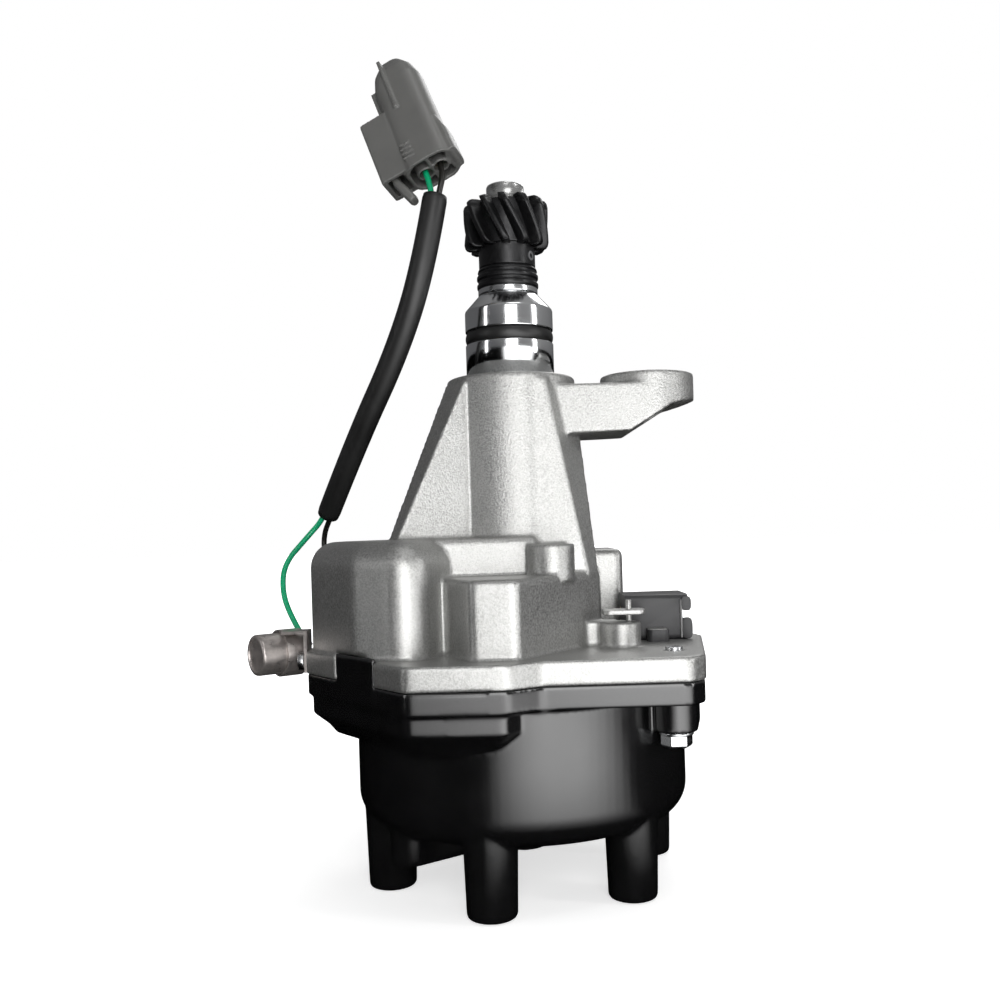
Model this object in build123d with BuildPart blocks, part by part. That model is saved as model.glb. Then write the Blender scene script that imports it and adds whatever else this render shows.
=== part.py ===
"""Ignition distributor with a built-in coil, shaft up, millimetres.

The origin is on the shaft axis at the mounting seat, where the nose enters the engine. +Z runs along
the nose to the drive gear, +X points along the adjusting arm and +Y to the back.
"""

import os
from math import atan, cos, degrees, pi, radians, sin, tan

from build123d import *

os.makedirs("parts", exist_ok=True)

# Fits and clearances
run_gap = 0.03  # radial clearance of the shaft in its bushing and seal
end_float = 0.2  # axial play of the shaft
air_gap = 0.8  # between the rotor contact and the tower terminals
part_gap = 0.3  # between curved neighbours that don't touch

# Nose and shaft line, upward from the seat
shaft_d = 12.5
nose_d = 28.0
nose_length = 26.6
nose_cone = 5.0
ring_groove_z = 11.0
ring_groove_w = 4.2
ring_groove_depth = 2.4
washer_d = 19.0
washer_t = 2.0
collar_d = 19.6
collar_length = 6.5
collar_groove = 1.2
tip_d = 12.0
hub_d = 18.0
hub_length = 6.2
gear_d = 27.0
gear_width = 15.0
gear_teeth = 12
tooth_depth = 3.6
gear_twist = -36.0  # turn of a tooth over the gear's width, in degrees
shaft_tip = 5.5  # bare shaft above the gear
gear_bevel = 1.2
gear_spare = 1.0  # toothed bar cut away at each end of the gear
gear_pin_d = 3.0
gear_pin_angle = -32.0
centre_drill_d = 3.2

# Housing, downward from the seat
boss_r = 20.4
chamber_drop = 50.0  # seat to the coil chamber's top
lobe_drop = 61.4  # seat to the sensor lobe's top
flange_drop = 83.5  # seat to the flange's top
flange_t = 7.0
wall = 3.2
chamber_round = 8.0
block_drop = 55.2  # seat to the rear block's top
block_side = 35.5
block_back = 42.0
block_size = (28.0, 30.0)
chamber_corner = 9.0
clip_lug = (30.6, -22.0)
clip_lug_r = 6.0
clip_lug_h = 7.2
lobe_boss = (10.3, -25.0)
lobe_boss_r = 7.0
lobe_boss_drop = 52.5
saddle_round = 2.0
notch_at = 30.5  # along the left front facet to the notch's middle
notch_w = 22.4
notch_h = 8.2
notch_depth = 1.8
tab_gap = 0.2
tab_t = 1.5

# Adjusting arm
arm_half = 15.0
arm_reach = 43.4
arm_top_drop = 3.7
arm_root_drop = 18.5
arm_tip_drop = 8.6
arm_neck = 6.0  # from the tip bore out to where the slanted underside ends
arm_root_out = 16.0
pad_r = 14.8
pad_rise = 1.6
slot_r = 46.0
slot_half_angle = 9.0
slot_w = 8.5

# Ribs
rib_t = 6.0
rib_top_drop = 2.0
left_rib_angle = -148.0
left_rib_r = 43.2
right_rib_angle = -34.0
right_rib_r = 28.4
right_rib_top = 19.1  # reach of the right rib at its top
back_rib_angle = 110.0
back_rib_r = 36.0
rib_root = (19.4, 6.2)  # where a straight rib's side meets the tube
right_rib_side = (16.8, -11.8)  # where the right rib's front meets the tube
right_rib_back = (19.0, 6.8)

# Cap
dome_r = 51.5
dome_drop = 45.5  # split line to the dome's bottom
dome_round = 9.0
cap_wall = 4.0
rim_t = 6.5
skirt_t = 12.0
lobe_chamfer = 7.0
lug_t = 16.2
tower_circle = 42.6
tower_count = 6
tower_angle = 17.0
tower_end_r = 7.2
tower_length = 19.8
socket_r = 3.8
socket_depth = 16.0
hv_angle = -143.0
hv_circle = 42.0
hv_rib_w = 12.0
hv_rib_drop = 9.0
centre_boss_r = 7.4
centre_boss_drop = 12.5
rim_inset = 0.4
lug_r = 6.2
lug_point = (51.0, -22.0)  # far end of the front lug
lug_point_r = 2.5
tower_draft = 1.6
hv_post_r = 6.5
hv_post_drop = 6.5  # split line to the top of the high-tension post
brush_post_r = 4.6
terminal_post_r = 4.5
terminal_r = 2.6
terminal_foot_h = 5.0
strip_r = 1.5
strip_drop = 5.0  # dome's bottom to the strip

# Cap screws
screw_circle = 56.6
screw_angles = (-38.5, 58.0, 148.0)
cap_screw_d = 5.0
cap_screw_head_af = 8.0
cap_screw_head_h = 3.6
cap_washer_d = 10.0
cap_washer_t = 0.9

# Gasket
gasket_w = 1.6
gasket_t = 1.6
gasket_inset = 1.6

# Bearing at the bottom of the tube
bearing_d = 32.0
bearing_bore = 12.0
bearing_w = 10.0
bearing_drop = 64.0
ball_d = 6.0
ball_count = 8
retainer_t = 1.5
retainer_r = 21.3
retainer_screw_length = 5.0
retainer_head_d = 4.6
small_screw_d = 3.0
small_head_d = 5.5
small_head_h = 2.0

# Bushing and seal in the nose
bushing_d = 18.0
bushing_length = 22.0
bushing_inset = 2.0
seal_d = 24.0
seal_t = 6.0

# Sensor
plate_r = 43.0
plate_t = 1.5
plate_hole_r = 17.5
disc_r = 34.0
disc_t = 0.8
disc_drop = 4.0  # split line to the disc
disc_slots = 24
hub_r = 11.0
pickup_w = 24.0
pickup_h = 8.0
plate_screw_length = 6.0
cover_drop = 10.0  # split line to the dust cover
cover_t = 1.2
cover_leg_r = 3.2

# Rotor
rotor_drop = 12.4  # split line to the rotor's top
rotor_h = 19.0
rotor_tip_r = 33.0
rotor_arm_w = 13.0
contact_t = 1.2
contact_w = 8.0
shoulder_r = 8.0
rotor_screw_d = 4.0
brush_d = 5.0
brush_length = 8.0
brush_gap = 0.05
spring_pitch = 1.3
spring_wire_r = 0.3

# Coil
coil_x = (-46.5, -25.5)
coil_y = (-30.0, 6.0)
coil_h = 21.0
core_w = 10.0
core_bar = 6.0
core_h = 20.0
core_drop = 60.0
coil_tower_r = 4.5
coil_tower_dip = 2.5  # how far the tower enters its post

# Power transistor
module_size = (17.0, 19.0, 12.0)

# Signal connector
shell_x = (33.5, 53.0)
shell_y = (-9.0, 11.0)
shell_h = 14.0
shell_wall = 1.8
pin_count = 6
pin_r = 0.6

# Condenser
can_d = 13.0
can_length = 15.0
can_angle = -142.0
can_end = (-83.0, -6.0)
can_drop = 85.0  # seat to the can's axis
strap_t = 1.0
strap_w = 7.0
bracket_y = -5.0
bracket_screw_y = -7.0
boot_r = 1.6
boot_length = 5.5

# Lead, its routes chosen by hand from the grommet and the condenser up to the plug
sleeve_d = 7.6
wire_d = 1.8
bend_share = 0.45
sleeve_route = [
    (-63.7, 22.0, -40.8),
    (-50.4, 4.0, -17.4),
    (-34.6, -11.0, 8.7),
    (-25.1, -19.0, 32.6),
    (-21.2, -17.0, 54.0),
]
black_route = [
    (-58.6, 21.1, -62.0),
    (-62.7, 24.0, -61.0),
    (-66.2, 27.0, -56.5),
    (-66.6, 27.4, -47.8),
    (-62.5, 23.1, -41.0),
]
green_route = [
    (-70.9, 5.0, -79.0),
    (-74.2, 6.4, -73.6),
    (-77.2, 9.0, -66.0),
    (-77.6, 14.5, -57.0),
    (-71.4, 22.8, -48.4),
    (-65.4, 21.3, -41.2),
]
plug_mouth = (-21.4, -15.5, 62.4)
plug_way = (-0.318, 0.3185, 0.893)
plug_across = (1.0, -0.35, 0.0)
plug_length = 42.0
plug_size = (16.4, 14.0)
plug_end_size = (8.0, 7.0)
plug_shoulder = 0.8  # share of the length where the hood starts to round off
cell_pitch = 5.2
cell_r = 2.1
cell_depth = 12.0
wire_dip = 3.5  # how far a wire enters its cell
lock_size = (7.5, 11.0, 24.0)
grommet_r = 3.2
grommet_t = 4.0

# Levels
z_washer = nose_length + end_float
z_collar = z_washer + washer_t
z_hub = z_collar + collar_length
z_gear = z_hub + hub_length
z_gear_top = z_gear + gear_width
z_tip = z_gear_top + shaft_tip
z_chamber = -chamber_drop
z_lobe = -lobe_drop
z_flange = -flange_drop
z_split = z_flange - flange_t
z_cap_screw = z_split - lug_t - cap_washer_t
z_dome = z_split - dome_drop
z_foot = z_dome - tower_length
z_socket = z_foot + socket_depth
z_bearing = -bearing_drop
z_bearing_low = z_bearing - bearing_w
z_disc = z_split - disc_drop
z_cover = z_split - cover_drop
z_rotor = z_split - rotor_drop
z_rotor_low = z_rotor - rotor_h
z_contact = z_rotor_low - contact_t
z_hv_post = z_split - hv_post_drop
z_brush_post = z_contact - 3
z_terminal = z_contact - 3
terminal_inner_r = rotor_tip_r + air_gap
z_strip = z_dome - strip_drop
z_spring_low = z_contact - brush_gap - brush_length - 7
z_shaft_low = z_rotor_low + 3
z_rotor_screw = z_rotor - 5
z_core = -core_drop
z_lobe_boss = -lobe_boss_drop


def polar(radius, angle):
    """A point in plan at a radius and an angle about the shaft."""
    return (radius * cos(radians(angle)), radius * sin(radians(angle)))


def finish(part, name):
    """Labels a finished piece and writes it."""
    part.label = name
    export_step(part, f"parts/{name}.step")


# Plan outlines of the casting, anticlockwise from the left front
flange_outline = [
    (-66.0, -11.0),
    (-31.0, -57.0),
    (-3.0, -57.5),
    (6.0, -52.0),
    (46.5, -52.0),
    (51.2, -47.2),
    (59.0, 2.0),
    (53.0, 27.0),
    (38.0, 52.0),
    (28.0, 55.0),
    (14.0, 52.0),
    (-14.0, 52.0),
    (-44.0, 41.0),
    (-55.0, 34.0),
    (-66.0, 12.0),
]
chamber_outline = [
    (-64.0, -11.0),
    (-47.0, -36.0),
    (-28.0, -48.0),
    (-19.5, -25.0),
    (-17.0, 38.0),
    (-50.0, 30.0),
    (-64.0, 10.0),
]
saddle_outline = [
    (-34.0, -26.8),
    (6.0, -22.0),
    (14.0, 0.0),
    (8.0, 26.0),
    (-17.0, 37.5),
    (-34.0, 32.0),
]
chamber_inside = [
    (-60.6, -10.0),
    (-45.0, -33.6),
    (-29.8, -43.2),
    (-23.0, -27.0),
    (-23.8, 14.0),
    (-46.0, 27.0),
    (-60.6, 8.0),
]
lobe_outline = [
    (-24.0, -26.0),
    (-13.0, -49.5),
    (0.0, -50.0),
    (25.5, -13.0),
    (27.0, 12.0),
    (10.0, 32.0),
    (-24.0, 32.0),
]

# Plan outline of the cap's coil lobe
cap_lobe_outline = [
    (-64.5, -11.5),
    (-31.0, -56.0),
    (-4.0, -56.5),
    (4.0, -48.0),
    (-6.0, -20.0),
    (-30.0, 14.0),
    (-56.0, 26.0),
    (-64.5, 10.0),
]
cap_lobe_inside = [
    (-59.5, -10.0),
    (-29.5, -50.5),
    (-8.0, -50.8),
    (-10.0, -20.0),
    (-30.0, 10.0),
    (-53.0, 20.0),
    (-59.5, 8.0),
]


def plan(points, corner, z, grow=0.0):
    """The face of a plan outline with rounded corners, at a height, grown or shrunk by an amount."""
    with BuildSketch(Plane.XY.offset(z)) as sketch:
        with BuildLine():
            Polyline(*points, close=True)
        make_face()
        fillet(sketch.vertices(), corner)
        if grow:
            offset(amount=grow)
    return sketch.sketch


def discs(places, radius, z):
    """Equal circles at places in plan, at a height."""
    with BuildSketch(Plane.XY.offset(z)) as sketch:
        with Locations(*places):
            Circle(radius)
    return sketch.sketch


def rib(angle, reach, top_reach, top_drop, foot_drop, side_a, side_b):
    """A triangular gusset between two points on the tube, from near the seat out to its foot."""
    with BuildPart() as gusset:
        with BuildSketch(Plane.XZ.offset(-boss_r)):
            with BuildLine():
                Polyline(
                    (0, -top_drop),
                    (top_reach, -top_drop),
                    (reach, -foot_drop),
                    (reach, -foot_drop - 1),
                    (0, -foot_drop - 1),
                    close=True,
                )
            make_face()
        extrude(amount=2 * boss_r)
        with BuildSketch(Plane.XY.offset(-foot_drop - 1)):
            with BuildLine():
                Polyline((0, 0), side_a, (reach, -rib_t / 2), (reach, rib_t / 2), side_b, close=True)
            make_face()
        extrude(amount=foot_drop + 1, mode=Mode.INTERSECT)
    return gusset.part.rotate(Axis.Z, angle)


# Adjusting arm, the side profile cut to its rounded plan
with BuildPart() as arm:
    with BuildSketch(Plane.XZ.offset(-arm_half)):
        with BuildLine():
            Polyline(
                (0, -arm_top_drop),
                (arm_reach + pad_r, -arm_top_drop),
                (arm_reach + pad_r, -arm_tip_drop),
                (arm_reach + arm_neck, -arm_tip_drop - 2),
                (boss_r + arm_root_out, -arm_root_drop),
                (0, -arm_root_drop - 1),
                close=True,
            )
        make_face()
    extrude(amount=2 * arm_half)
    with BuildSketch(Plane.XY.offset(-arm_top_drop)):
        with Locations((arm_reach, 0)):
            Circle(pad_r)
    extrude(amount=arm_top_drop + pad_rise)
    with BuildSketch(Plane.XY.offset(-arm_root_drop - 1)):
        with Locations((arm_reach, 0)):
            Circle(pad_r)
        with Locations((arm_reach / 2, 0)):
            Rectangle(arm_reach, 2 * pad_r)
    extrude(amount=arm_root_drop + pad_rise + 1, mode=Mode.INTERSECT)
    with BuildSketch(Plane.XY.offset(pad_rise)):
        with BuildLine():
            slot_arc = CenterArc((0, 0), slot_r, -slot_half_angle, 2 * slot_half_angle)
        SlotArc(slot_arc, slot_w)
    extrude(amount=-arm_root_drop - pad_rise, mode=Mode.SUBTRACT)

rib_sides = ((rib_root[0], -rib_root[1]), rib_root)
left_rib = rib(left_rib_angle, left_rib_r, boss_r, rib_top_drop, chamber_drop, *rib_sides)
back_rib = rib(back_rib_angle, back_rib_r, boss_r, rib_top_drop, lobe_drop, *rib_sides)
right_rib = rib(
    right_rib_angle, right_rib_r, right_rib_top, rib_top_drop, lobe_drop, right_rib_side, right_rib_back
)

# Coil chamber, with a deep round along its top edge, and the saddle that joins it to the tube
with BuildPart() as chamber:
    extrude(plan(chamber_outline, chamber_corner, z_flange - 1), amount=z_chamber - z_flange + 1)
    fillet(chamber.faces().sort_by(Axis.Z)[-1].edges(), chamber_round)
with BuildPart() as saddle:
    extrude(plan(saddle_outline, saddle_round, z_flange - 1), amount=z_chamber - z_flange + 1)
    fillet(saddle.faces().sort_by(Axis.Z)[-1].edges(), saddle_round)

# Sensor lobe
with BuildPart() as lobe:
    extrude(plan(lobe_outline, 3.0, z_flange - 1), amount=z_lobe - z_flange + 1)
    fillet(lobe.faces().sort_by(Axis.Z)[-1].edges(), 1.5)

# Rear block over the power transistor
with BuildPart() as block:
    with BuildSketch(Plane.XY.offset(z_flange - 1)):
        with Locations((block_side, block_back)):
            Rectangle(block_size[0], block_size[1], align=(Align.MAX, Align.MAX))
    extrude(amount=-block_drop - z_flange + 1)
    fillet(block.edges().filter_by(Axis.Z), 3)
    fillet(block.faces().sort_by(Axis.Z)[-1].edges(), 2.5)

# Seat of the black wire's grommet in the chamber's wall
grommet_plane = Plane(origin=black_route[0], z_dir=Vector(black_route[1]) - Vector(black_route[0]))
flange_left = flange_outline[0][0]

# Middle of the notch in the flange's left front facet, turned along the facet
facet_start = Vector(*flange_outline[0])
facet_run = Vector(*flange_outline[1]) - facet_start
facet_angle = degrees(atan(facet_run.Y / facet_run.X))
facet_turn = Location(tuple(facet_start + facet_run.normalized() * notch_at), (0, 0, facet_angle))

# Housing: flange, tiers, ribs, tube, nose and arm in one casting
retainer_screws = [polar(bearing_d / 4 + retainer_r / 2, angle) for angle in (30, 150, 270)]
screw_places = [polar(screw_circle, angle) for angle in screw_angles]
hv_place = polar(hv_circle, hv_angle)
plate_screws = [polar(plate_r - 4.5, angle) for angle in (15, 118, -60)]
module_place = (block_side - 4 - module_size[0] / 2, block_back - 4 - module_size[1] / 2)
module_top = -block_drop - wall
core_place = (sum(coil_x) / 2, sum(coil_y) / 2)
core_screws = [(core_place[0], coil_y[0] - core_bar / 2), (core_place[0], coil_y[1] + core_bar / 2)]
with BuildPart() as housing:
    extrude(plan(flange_outline, 4.0, z_split), amount=flange_t)
    add(chamber.part)
    add(saddle.part)
    add(lobe.part)
    add(block.part)
    with BuildSketch(Plane.XY.offset(z_split)):
        Circle(boss_r)
    extrude(amount=-z_split)
    chamfer(housing.edges().filter_by(GeomType.CIRCLE).sort_by(Axis.Z)[-1], 0.8)
    add(left_rib)
    add(right_rib)
    add(back_rib)
    add(arm.part)
    with BuildSketch(Plane.XY.offset(z_flange)):
        with Locations(clip_lug):
            Circle(clip_lug_r)
        with Locations((clip_lug[0] - clip_lug_r, clip_lug[1] + clip_lug_r * 0.9)):
            Rectangle(2 * clip_lug_r, clip_lug_r * 1.3)
    extrude(amount=clip_lug_h)
    with BuildSketch(Plane.XY.offset(z_lobe - 2)):
        with Locations(lobe_boss):
            Circle(lobe_boss_r)
    extrude(amount=z_lobe_boss - z_lobe + 2)
    with BuildSketch(Plane.XZ):
        with BuildLine():
            Polyline(
                (0, 0),
                (nose_d / 2, 0),
                (nose_d / 2, nose_length - nose_cone),
                (nose_d / 2 - nose_cone * 0.9, nose_length),
                (0, nose_length),
                close=True,
            )
        make_face()
        with Locations((nose_d / 2, ring_groove_z)):
            Rectangle(
                2 * ring_groove_depth, ring_groove_w, align=(Align.CENTER, Align.MIN), mode=Mode.SUBTRACT
            )
    revolve(axis=Axis.Z)
    with BuildSketch(Plane.XY.offset(nose_length)):
        Circle(bushing_d / 2)
    extrude(amount=-nose_length, mode=Mode.SUBTRACT)
    with BuildSketch(Plane.XY):
        Circle(seal_d / 2)
    extrude(amount=z_bearing, mode=Mode.SUBTRACT)
    with BuildSketch(Plane.XY.offset(z_bearing)):
        Circle(bearing_d / 2)
    extrude(amount=-bearing_w, mode=Mode.SUBTRACT)
    with BuildSketch(Plane.XY.offset(z_bearing_low)):
        Circle(retainer_r + part_gap)
    extrude(amount=z_split - z_bearing_low, mode=Mode.SUBTRACT)
    extrude(discs(retainer_screws, small_screw_d / 2, z_bearing_low), amount=6, mode=Mode.SUBTRACT)
    extrude(plan(chamber_inside, 3.0, z_split), amount=z_chamber - wall - z_split, mode=Mode.SUBTRACT)
    with BuildSketch(Plane.XY.offset(z_split)):
        with Locations(module_place):
            Rectangle(module_size[0] + 2, module_size[1] + 2)
    extrude(amount=module_top - z_split, mode=Mode.SUBTRACT)
    extrude(discs(core_screws, 3.6, z_core), amount=z_chamber - wall - z_core + 1)
    extrude(discs(core_screws, small_screw_d / 2, z_core), amount=5, mode=Mode.SUBTRACT)
    extrude(discs(plate_screws, small_screw_d / 2, z_split), amount=5, mode=Mode.SUBTRACT)
    extrude(discs(screw_places, cap_screw_d / 2, z_split), amount=flange_t, mode=Mode.SUBTRACT)
    with BuildSketch(Plane.YZ.offset(flange_left)):
        with Locations((bracket_screw_y, z_split + flange_t / 2)):
            Circle(small_screw_d / 2)
    extrude(amount=5, mode=Mode.SUBTRACT)
    with BuildSketch(Plane.XY.offset(z_split)):
        with Locations(facet_turn):
            Rectangle(notch_w, 2 * notch_depth)
    extrude(amount=notch_h, mode=Mode.SUBTRACT)
    with BuildSketch(grommet_plane):
        Circle(grommet_r)
    extrude(amount=-grommet_t - 3, mode=Mode.SUBTRACT)
finish(housing.part, "housing")

# Nose O-ring, squeezed flush with the nose as it is in the engine's bore
with BuildPart() as nose_o_ring:
    with BuildSketch(Plane.XZ):
        with Locations(((nose_d - ring_groove_depth) / 2, ring_groove_z + ring_groove_w / 2)):
            Ellipse(ring_groove_depth / 2, ring_groove_w / 2)
    revolve(axis=Axis.Z)
finish(nose_o_ring.part, "nose_o_ring")


def ring(inner_r, outer_r, low, height, name):
    """A plain ring on the shaft's axis."""
    with BuildPart() as turned:
        with BuildSketch(Plane.XY.offset(low)):
            Circle(outer_r)
            Circle(inner_r, mode=Mode.SUBTRACT)
        extrude(amount=height)
    finish(turned.part, name)


def screws(places, low, length, diameter, head_d, head_h, name):
    """Cheese-head screws that point up from their heads at a height."""
    with BuildPart() as group:
        extrude(discs(places, diameter / 2, low), amount=length)
        extrude(discs(places, head_d / 2, low), amount=-head_h)
        extrude(discs(places, head_d / 5, low - head_h), amount=head_h / 2, mode=Mode.SUBTRACT)
    finish(group.part, name)


# Bushing, seal and ball bearing
z_bushing = nose_length - bushing_inset - bushing_length
ring(shaft_d / 2 + run_gap, bushing_d / 2, z_bushing, bushing_length, "nose_bushing")
ring(shaft_d / 2 + run_gap, seal_d / 2, -seal_t, seal_t, "oil_seal")
race_r = (bearing_d + bearing_bore) / 4
with BuildPart() as bearing_outer_ring:
    with BuildSketch(Plane.XY.offset(z_bearing_low)):
        Circle(bearing_d / 2)
        Circle(race_r + ball_d * 0.3, mode=Mode.SUBTRACT)
    extrude(amount=bearing_w)
    with BuildSketch(Plane.XZ):
        with Locations((race_r, z_bearing - bearing_w / 2)):
            Circle(ball_d / 2 + run_gap)
    revolve(axis=Axis.Z, mode=Mode.SUBTRACT)
finish(bearing_outer_ring.part, "bearing_outer_ring")
with BuildPart() as bearing_inner_ring:
    with BuildSketch(Plane.XY.offset(z_bearing_low)):
        Circle(race_r - ball_d * 0.3)
        Circle(bearing_bore / 2, mode=Mode.SUBTRACT)
    extrude(amount=bearing_w)
    with BuildSketch(Plane.XZ):
        with Locations((race_r, z_bearing - bearing_w / 2)):
            Circle(ball_d / 2 + run_gap)
    revolve(axis=Axis.Z, mode=Mode.SUBTRACT)
finish(bearing_inner_ring.part, "bearing_inner_ring")
with BuildPart() as bearing_balls:
    with Locations((0, 0, z_bearing - bearing_w / 2)):
        with PolarLocations(race_r, ball_count):
            Sphere(ball_d / 2)
finish(bearing_balls.part, "bearing_balls")
with BuildPart() as bearing_retainer:
    with BuildSketch(Plane.XY.offset(z_bearing_low)):
        Circle(retainer_r)
        Circle(race_r + ball_d * 0.3, mode=Mode.SUBTRACT)
        with Locations(*retainer_screws):
            Circle(small_screw_d / 2, mode=Mode.SUBTRACT)
    extrude(amount=-retainer_t)
finish(bearing_retainer.part, "bearing_retainer")
screws(
    retainer_screws,
    z_bearing_low - retainer_t,
    retainer_screw_length,
    small_screw_d,
    retainer_head_d,
    small_head_h,
    "retainer_screws",
)

# Drive shaft, stepped down for the bearing, with a centre drilling and a chamfered tip
pin_plane = Plane(origin=(0, 0, z_hub + hub_length / 2), z_dir=(*polar(1, gear_pin_angle), 0))
with BuildPart() as drive_shaft:
    with BuildSketch(Plane.XZ):
        with BuildLine():
            Polyline(
                (0, z_shaft_low),
                (bearing_bore / 2, z_shaft_low),
                (bearing_bore / 2, z_bearing),
                (shoulder_r, z_bearing),
                (shoulder_r, z_bearing + 4),
                (shaft_d / 2, z_bearing + 4),
                (shaft_d / 2, z_gear_top + 0.3),
                (tip_d / 2, z_gear_top + 0.3),
                (tip_d / 2, z_tip - 0.8),
                (tip_d / 2 - 0.8, z_tip),
                (0, z_tip),
                close=True,
            )
        make_face()
    revolve(axis=Axis.Z)
    with BuildSketch(Plane.XY.offset(z_tip)):
        Circle(centre_drill_d / 2)
    extrude(amount=-centre_drill_d, mode=Mode.SUBTRACT)
    with BuildSketch(pin_plane):
        Circle(gear_pin_d / 2)
    extrude(amount=shaft_d, both=True, mode=Mode.SUBTRACT)
    with BuildSketch(Plane.YZ.offset(-bearing_bore / 2)):
        with Locations((0, z_rotor_screw)):
            Circle(rotor_screw_d / 2)
    extrude(amount=rotor_screw_d, mode=Mode.SUBTRACT)
finish(drive_shaft.part, "drive_shaft")

# Helical drive gear with its hub
root_r = gear_d / 2 - tooth_depth
tooth_step = 360 / gear_teeth
with BuildSketch() as gear_section:
    Circle(root_r)
    with BuildSketch(mode=Mode.PRIVATE) as tooth:
        with BuildLine():
            Polyline(
                polar(root_r - 0.6, -tooth_step * 0.30),
                polar(root_r + 0.3, -tooth_step * 0.28),
                polar(root_r + tooth_depth * 0.55, -tooth_step * 0.21),
                polar(gear_d / 2, -tooth_step * 0.12),
                polar(gear_d / 2, tooth_step * 0.12),
                polar(root_r + tooth_depth * 0.55, tooth_step * 0.21),
                polar(root_r + 0.3, tooth_step * 0.28),
                polar(root_r - 0.6, tooth_step * 0.30),
                close=True,
            )
        make_face()
    with PolarLocations(0, gear_teeth):
        add(tooth.sketch)
gear_prism = Solid.extrude_linear_with_rotation(
    gear_section.sketch.faces()[0],
    (0, 0, 0),
    (0, 0, gear_width + 2 * gear_spare),
    gear_twist * (gear_width + 2 * gear_spare) / gear_width,
)
with BuildPart() as gear_disc:
    with BuildSketch(Plane.XY.offset(z_gear)):
        Circle(gear_d / 2 + 0.01)
    extrude(amount=gear_width)
    chamfer(gear_disc.edges().filter_by(GeomType.CIRCLE), gear_bevel)
with BuildPart() as drive_gear:
    with Locations((0, 0, z_gear - gear_spare)):
        add(gear_prism)
    add(gear_disc.part, mode=Mode.INTERSECT)
    with BuildSketch(Plane.XY.offset(z_hub)):
        Circle(hub_d / 2)
    extrude(amount=hub_length)
    with BuildSketch(Plane.XY.offset(z_hub)):
        Circle(shaft_d / 2)
    extrude(amount=hub_length + gear_width, mode=Mode.SUBTRACT)
    with BuildSketch(pin_plane):
        Circle(gear_pin_d / 2)
    extrude(amount=hub_d, both=True, mode=Mode.SUBTRACT)
finish(drive_gear.part, "drive_gear")
with BuildPart() as gear_pin:
    with BuildSketch(pin_plane.offset(-hub_d / 2)):
        Circle(gear_pin_d / 2)
        Circle(gear_pin_d / 4, mode=Mode.SUBTRACT)
    extrude(amount=hub_d)
finish(gear_pin.part, "gear_pin")

# Ringed thrust collar and the washer that runs on the nose
collar_grooves = [(collar_d / 2, z_collar + collar_length * share) for share in (0.35, 0.75)]
with BuildPart() as thrust_collar:
    with BuildSketch(Plane.XY.offset(z_collar)):
        Circle(collar_d / 2)
        Circle(shaft_d / 2, mode=Mode.SUBTRACT)
    extrude(amount=collar_length)
    with BuildSketch(Plane.XZ):
        with Locations(*collar_grooves):
            Rectangle(collar_groove, collar_groove)
    revolve(axis=Axis.Z, mode=Mode.SUBTRACT)
finish(thrust_collar.part, "thrust_collar")
ring(shaft_d / 2, washer_d / 2, z_washer, washer_t, "thrust_washer")

# Signal disc, its hub and the rotor
with BuildPart() as disc_hub:
    with BuildSketch(Plane.XY.offset(z_bearing_low)):
        Circle(hub_r - 2.5)
    extrude(amount=z_disc - z_bearing_low)
    with BuildSketch(Plane.XY.offset(z_disc)):
        Circle(hub_r)
    extrude(amount=3)
    with BuildSketch(Plane.XY.offset(z_disc - disc_t)):
        Circle(bearing_bore / 2)
    extrude(amount=z_bearing - z_disc, mode=Mode.SUBTRACT)
finish(disc_hub.part, "disc_hub")
with BuildPart() as signal_disc:
    with BuildSketch(Plane.XY.offset(z_disc - disc_t)):
        Circle(disc_r)
        Circle(bearing_bore / 2, mode=Mode.SUBTRACT)
        with PolarLocations(disc_r * 0.66, tower_count):
            SlotOverall(7.0, 2.4, rotation=0, mode=Mode.SUBTRACT)
        with PolarLocations(disc_r - 3.2, disc_slots):
            Rectangle(3.0, 1.2, mode=Mode.SUBTRACT)
    extrude(amount=disc_t)
finish(signal_disc.part, "signal_disc")
with BuildPart() as disc_spacer:
    with BuildSketch(Plane.XY.offset(z_rotor)):
        Circle(hub_r - 2)
        Circle(bearing_bore / 2, mode=Mode.SUBTRACT)
    extrude(amount=z_disc - disc_t - z_rotor)
finish(disc_spacer.part, "disc_spacer")

with BuildPart() as rotor_arm:
    with BuildSketch(Plane.XY.offset(z_rotor_low)):
        Circle(hub_r)
    extrude(amount=rotor_h)
    with BuildSketch(Plane.XY.offset(z_rotor_low)):
        with Locations(Location((0, 0), tower_angle)):
            with Locations((rotor_tip_r / 2 - 4, 0)):
                Rectangle(rotor_tip_r - 4, rotor_arm_w)
        with Locations(polar(-hub_r, tower_angle)):
            Circle(rotor_arm_w * 0.7)
    extrude(amount=rotor_h * 0.35)
    with BuildSketch(Plane.XY.offset(z_rotor)):
        Circle(bearing_bore / 2)
    extrude(amount=z_shaft_low - z_rotor, mode=Mode.SUBTRACT)
    with BuildSketch(Plane.YZ.offset(-hub_r - 4)):
        with Locations((0, z_rotor_screw)):
            Circle(rotor_screw_d / 2)
    extrude(amount=hub_r + 4, mode=Mode.SUBTRACT)
finish(rotor_arm.part, "rotor_arm")
with BuildPart() as rotor_contact:
    with BuildSketch(Plane.XY.offset(z_contact)):
        Circle(contact_w * 0.75)
        with Locations(Location((0, 0), tower_angle)):
            with Locations((rotor_tip_r / 2, 0)):
                Rectangle(rotor_tip_r, contact_w)
        Circle(rotor_tip_r, mode=Mode.INTERSECT)
    extrude(amount=contact_t)
finish(rotor_contact.part, "rotor_contact")
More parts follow.
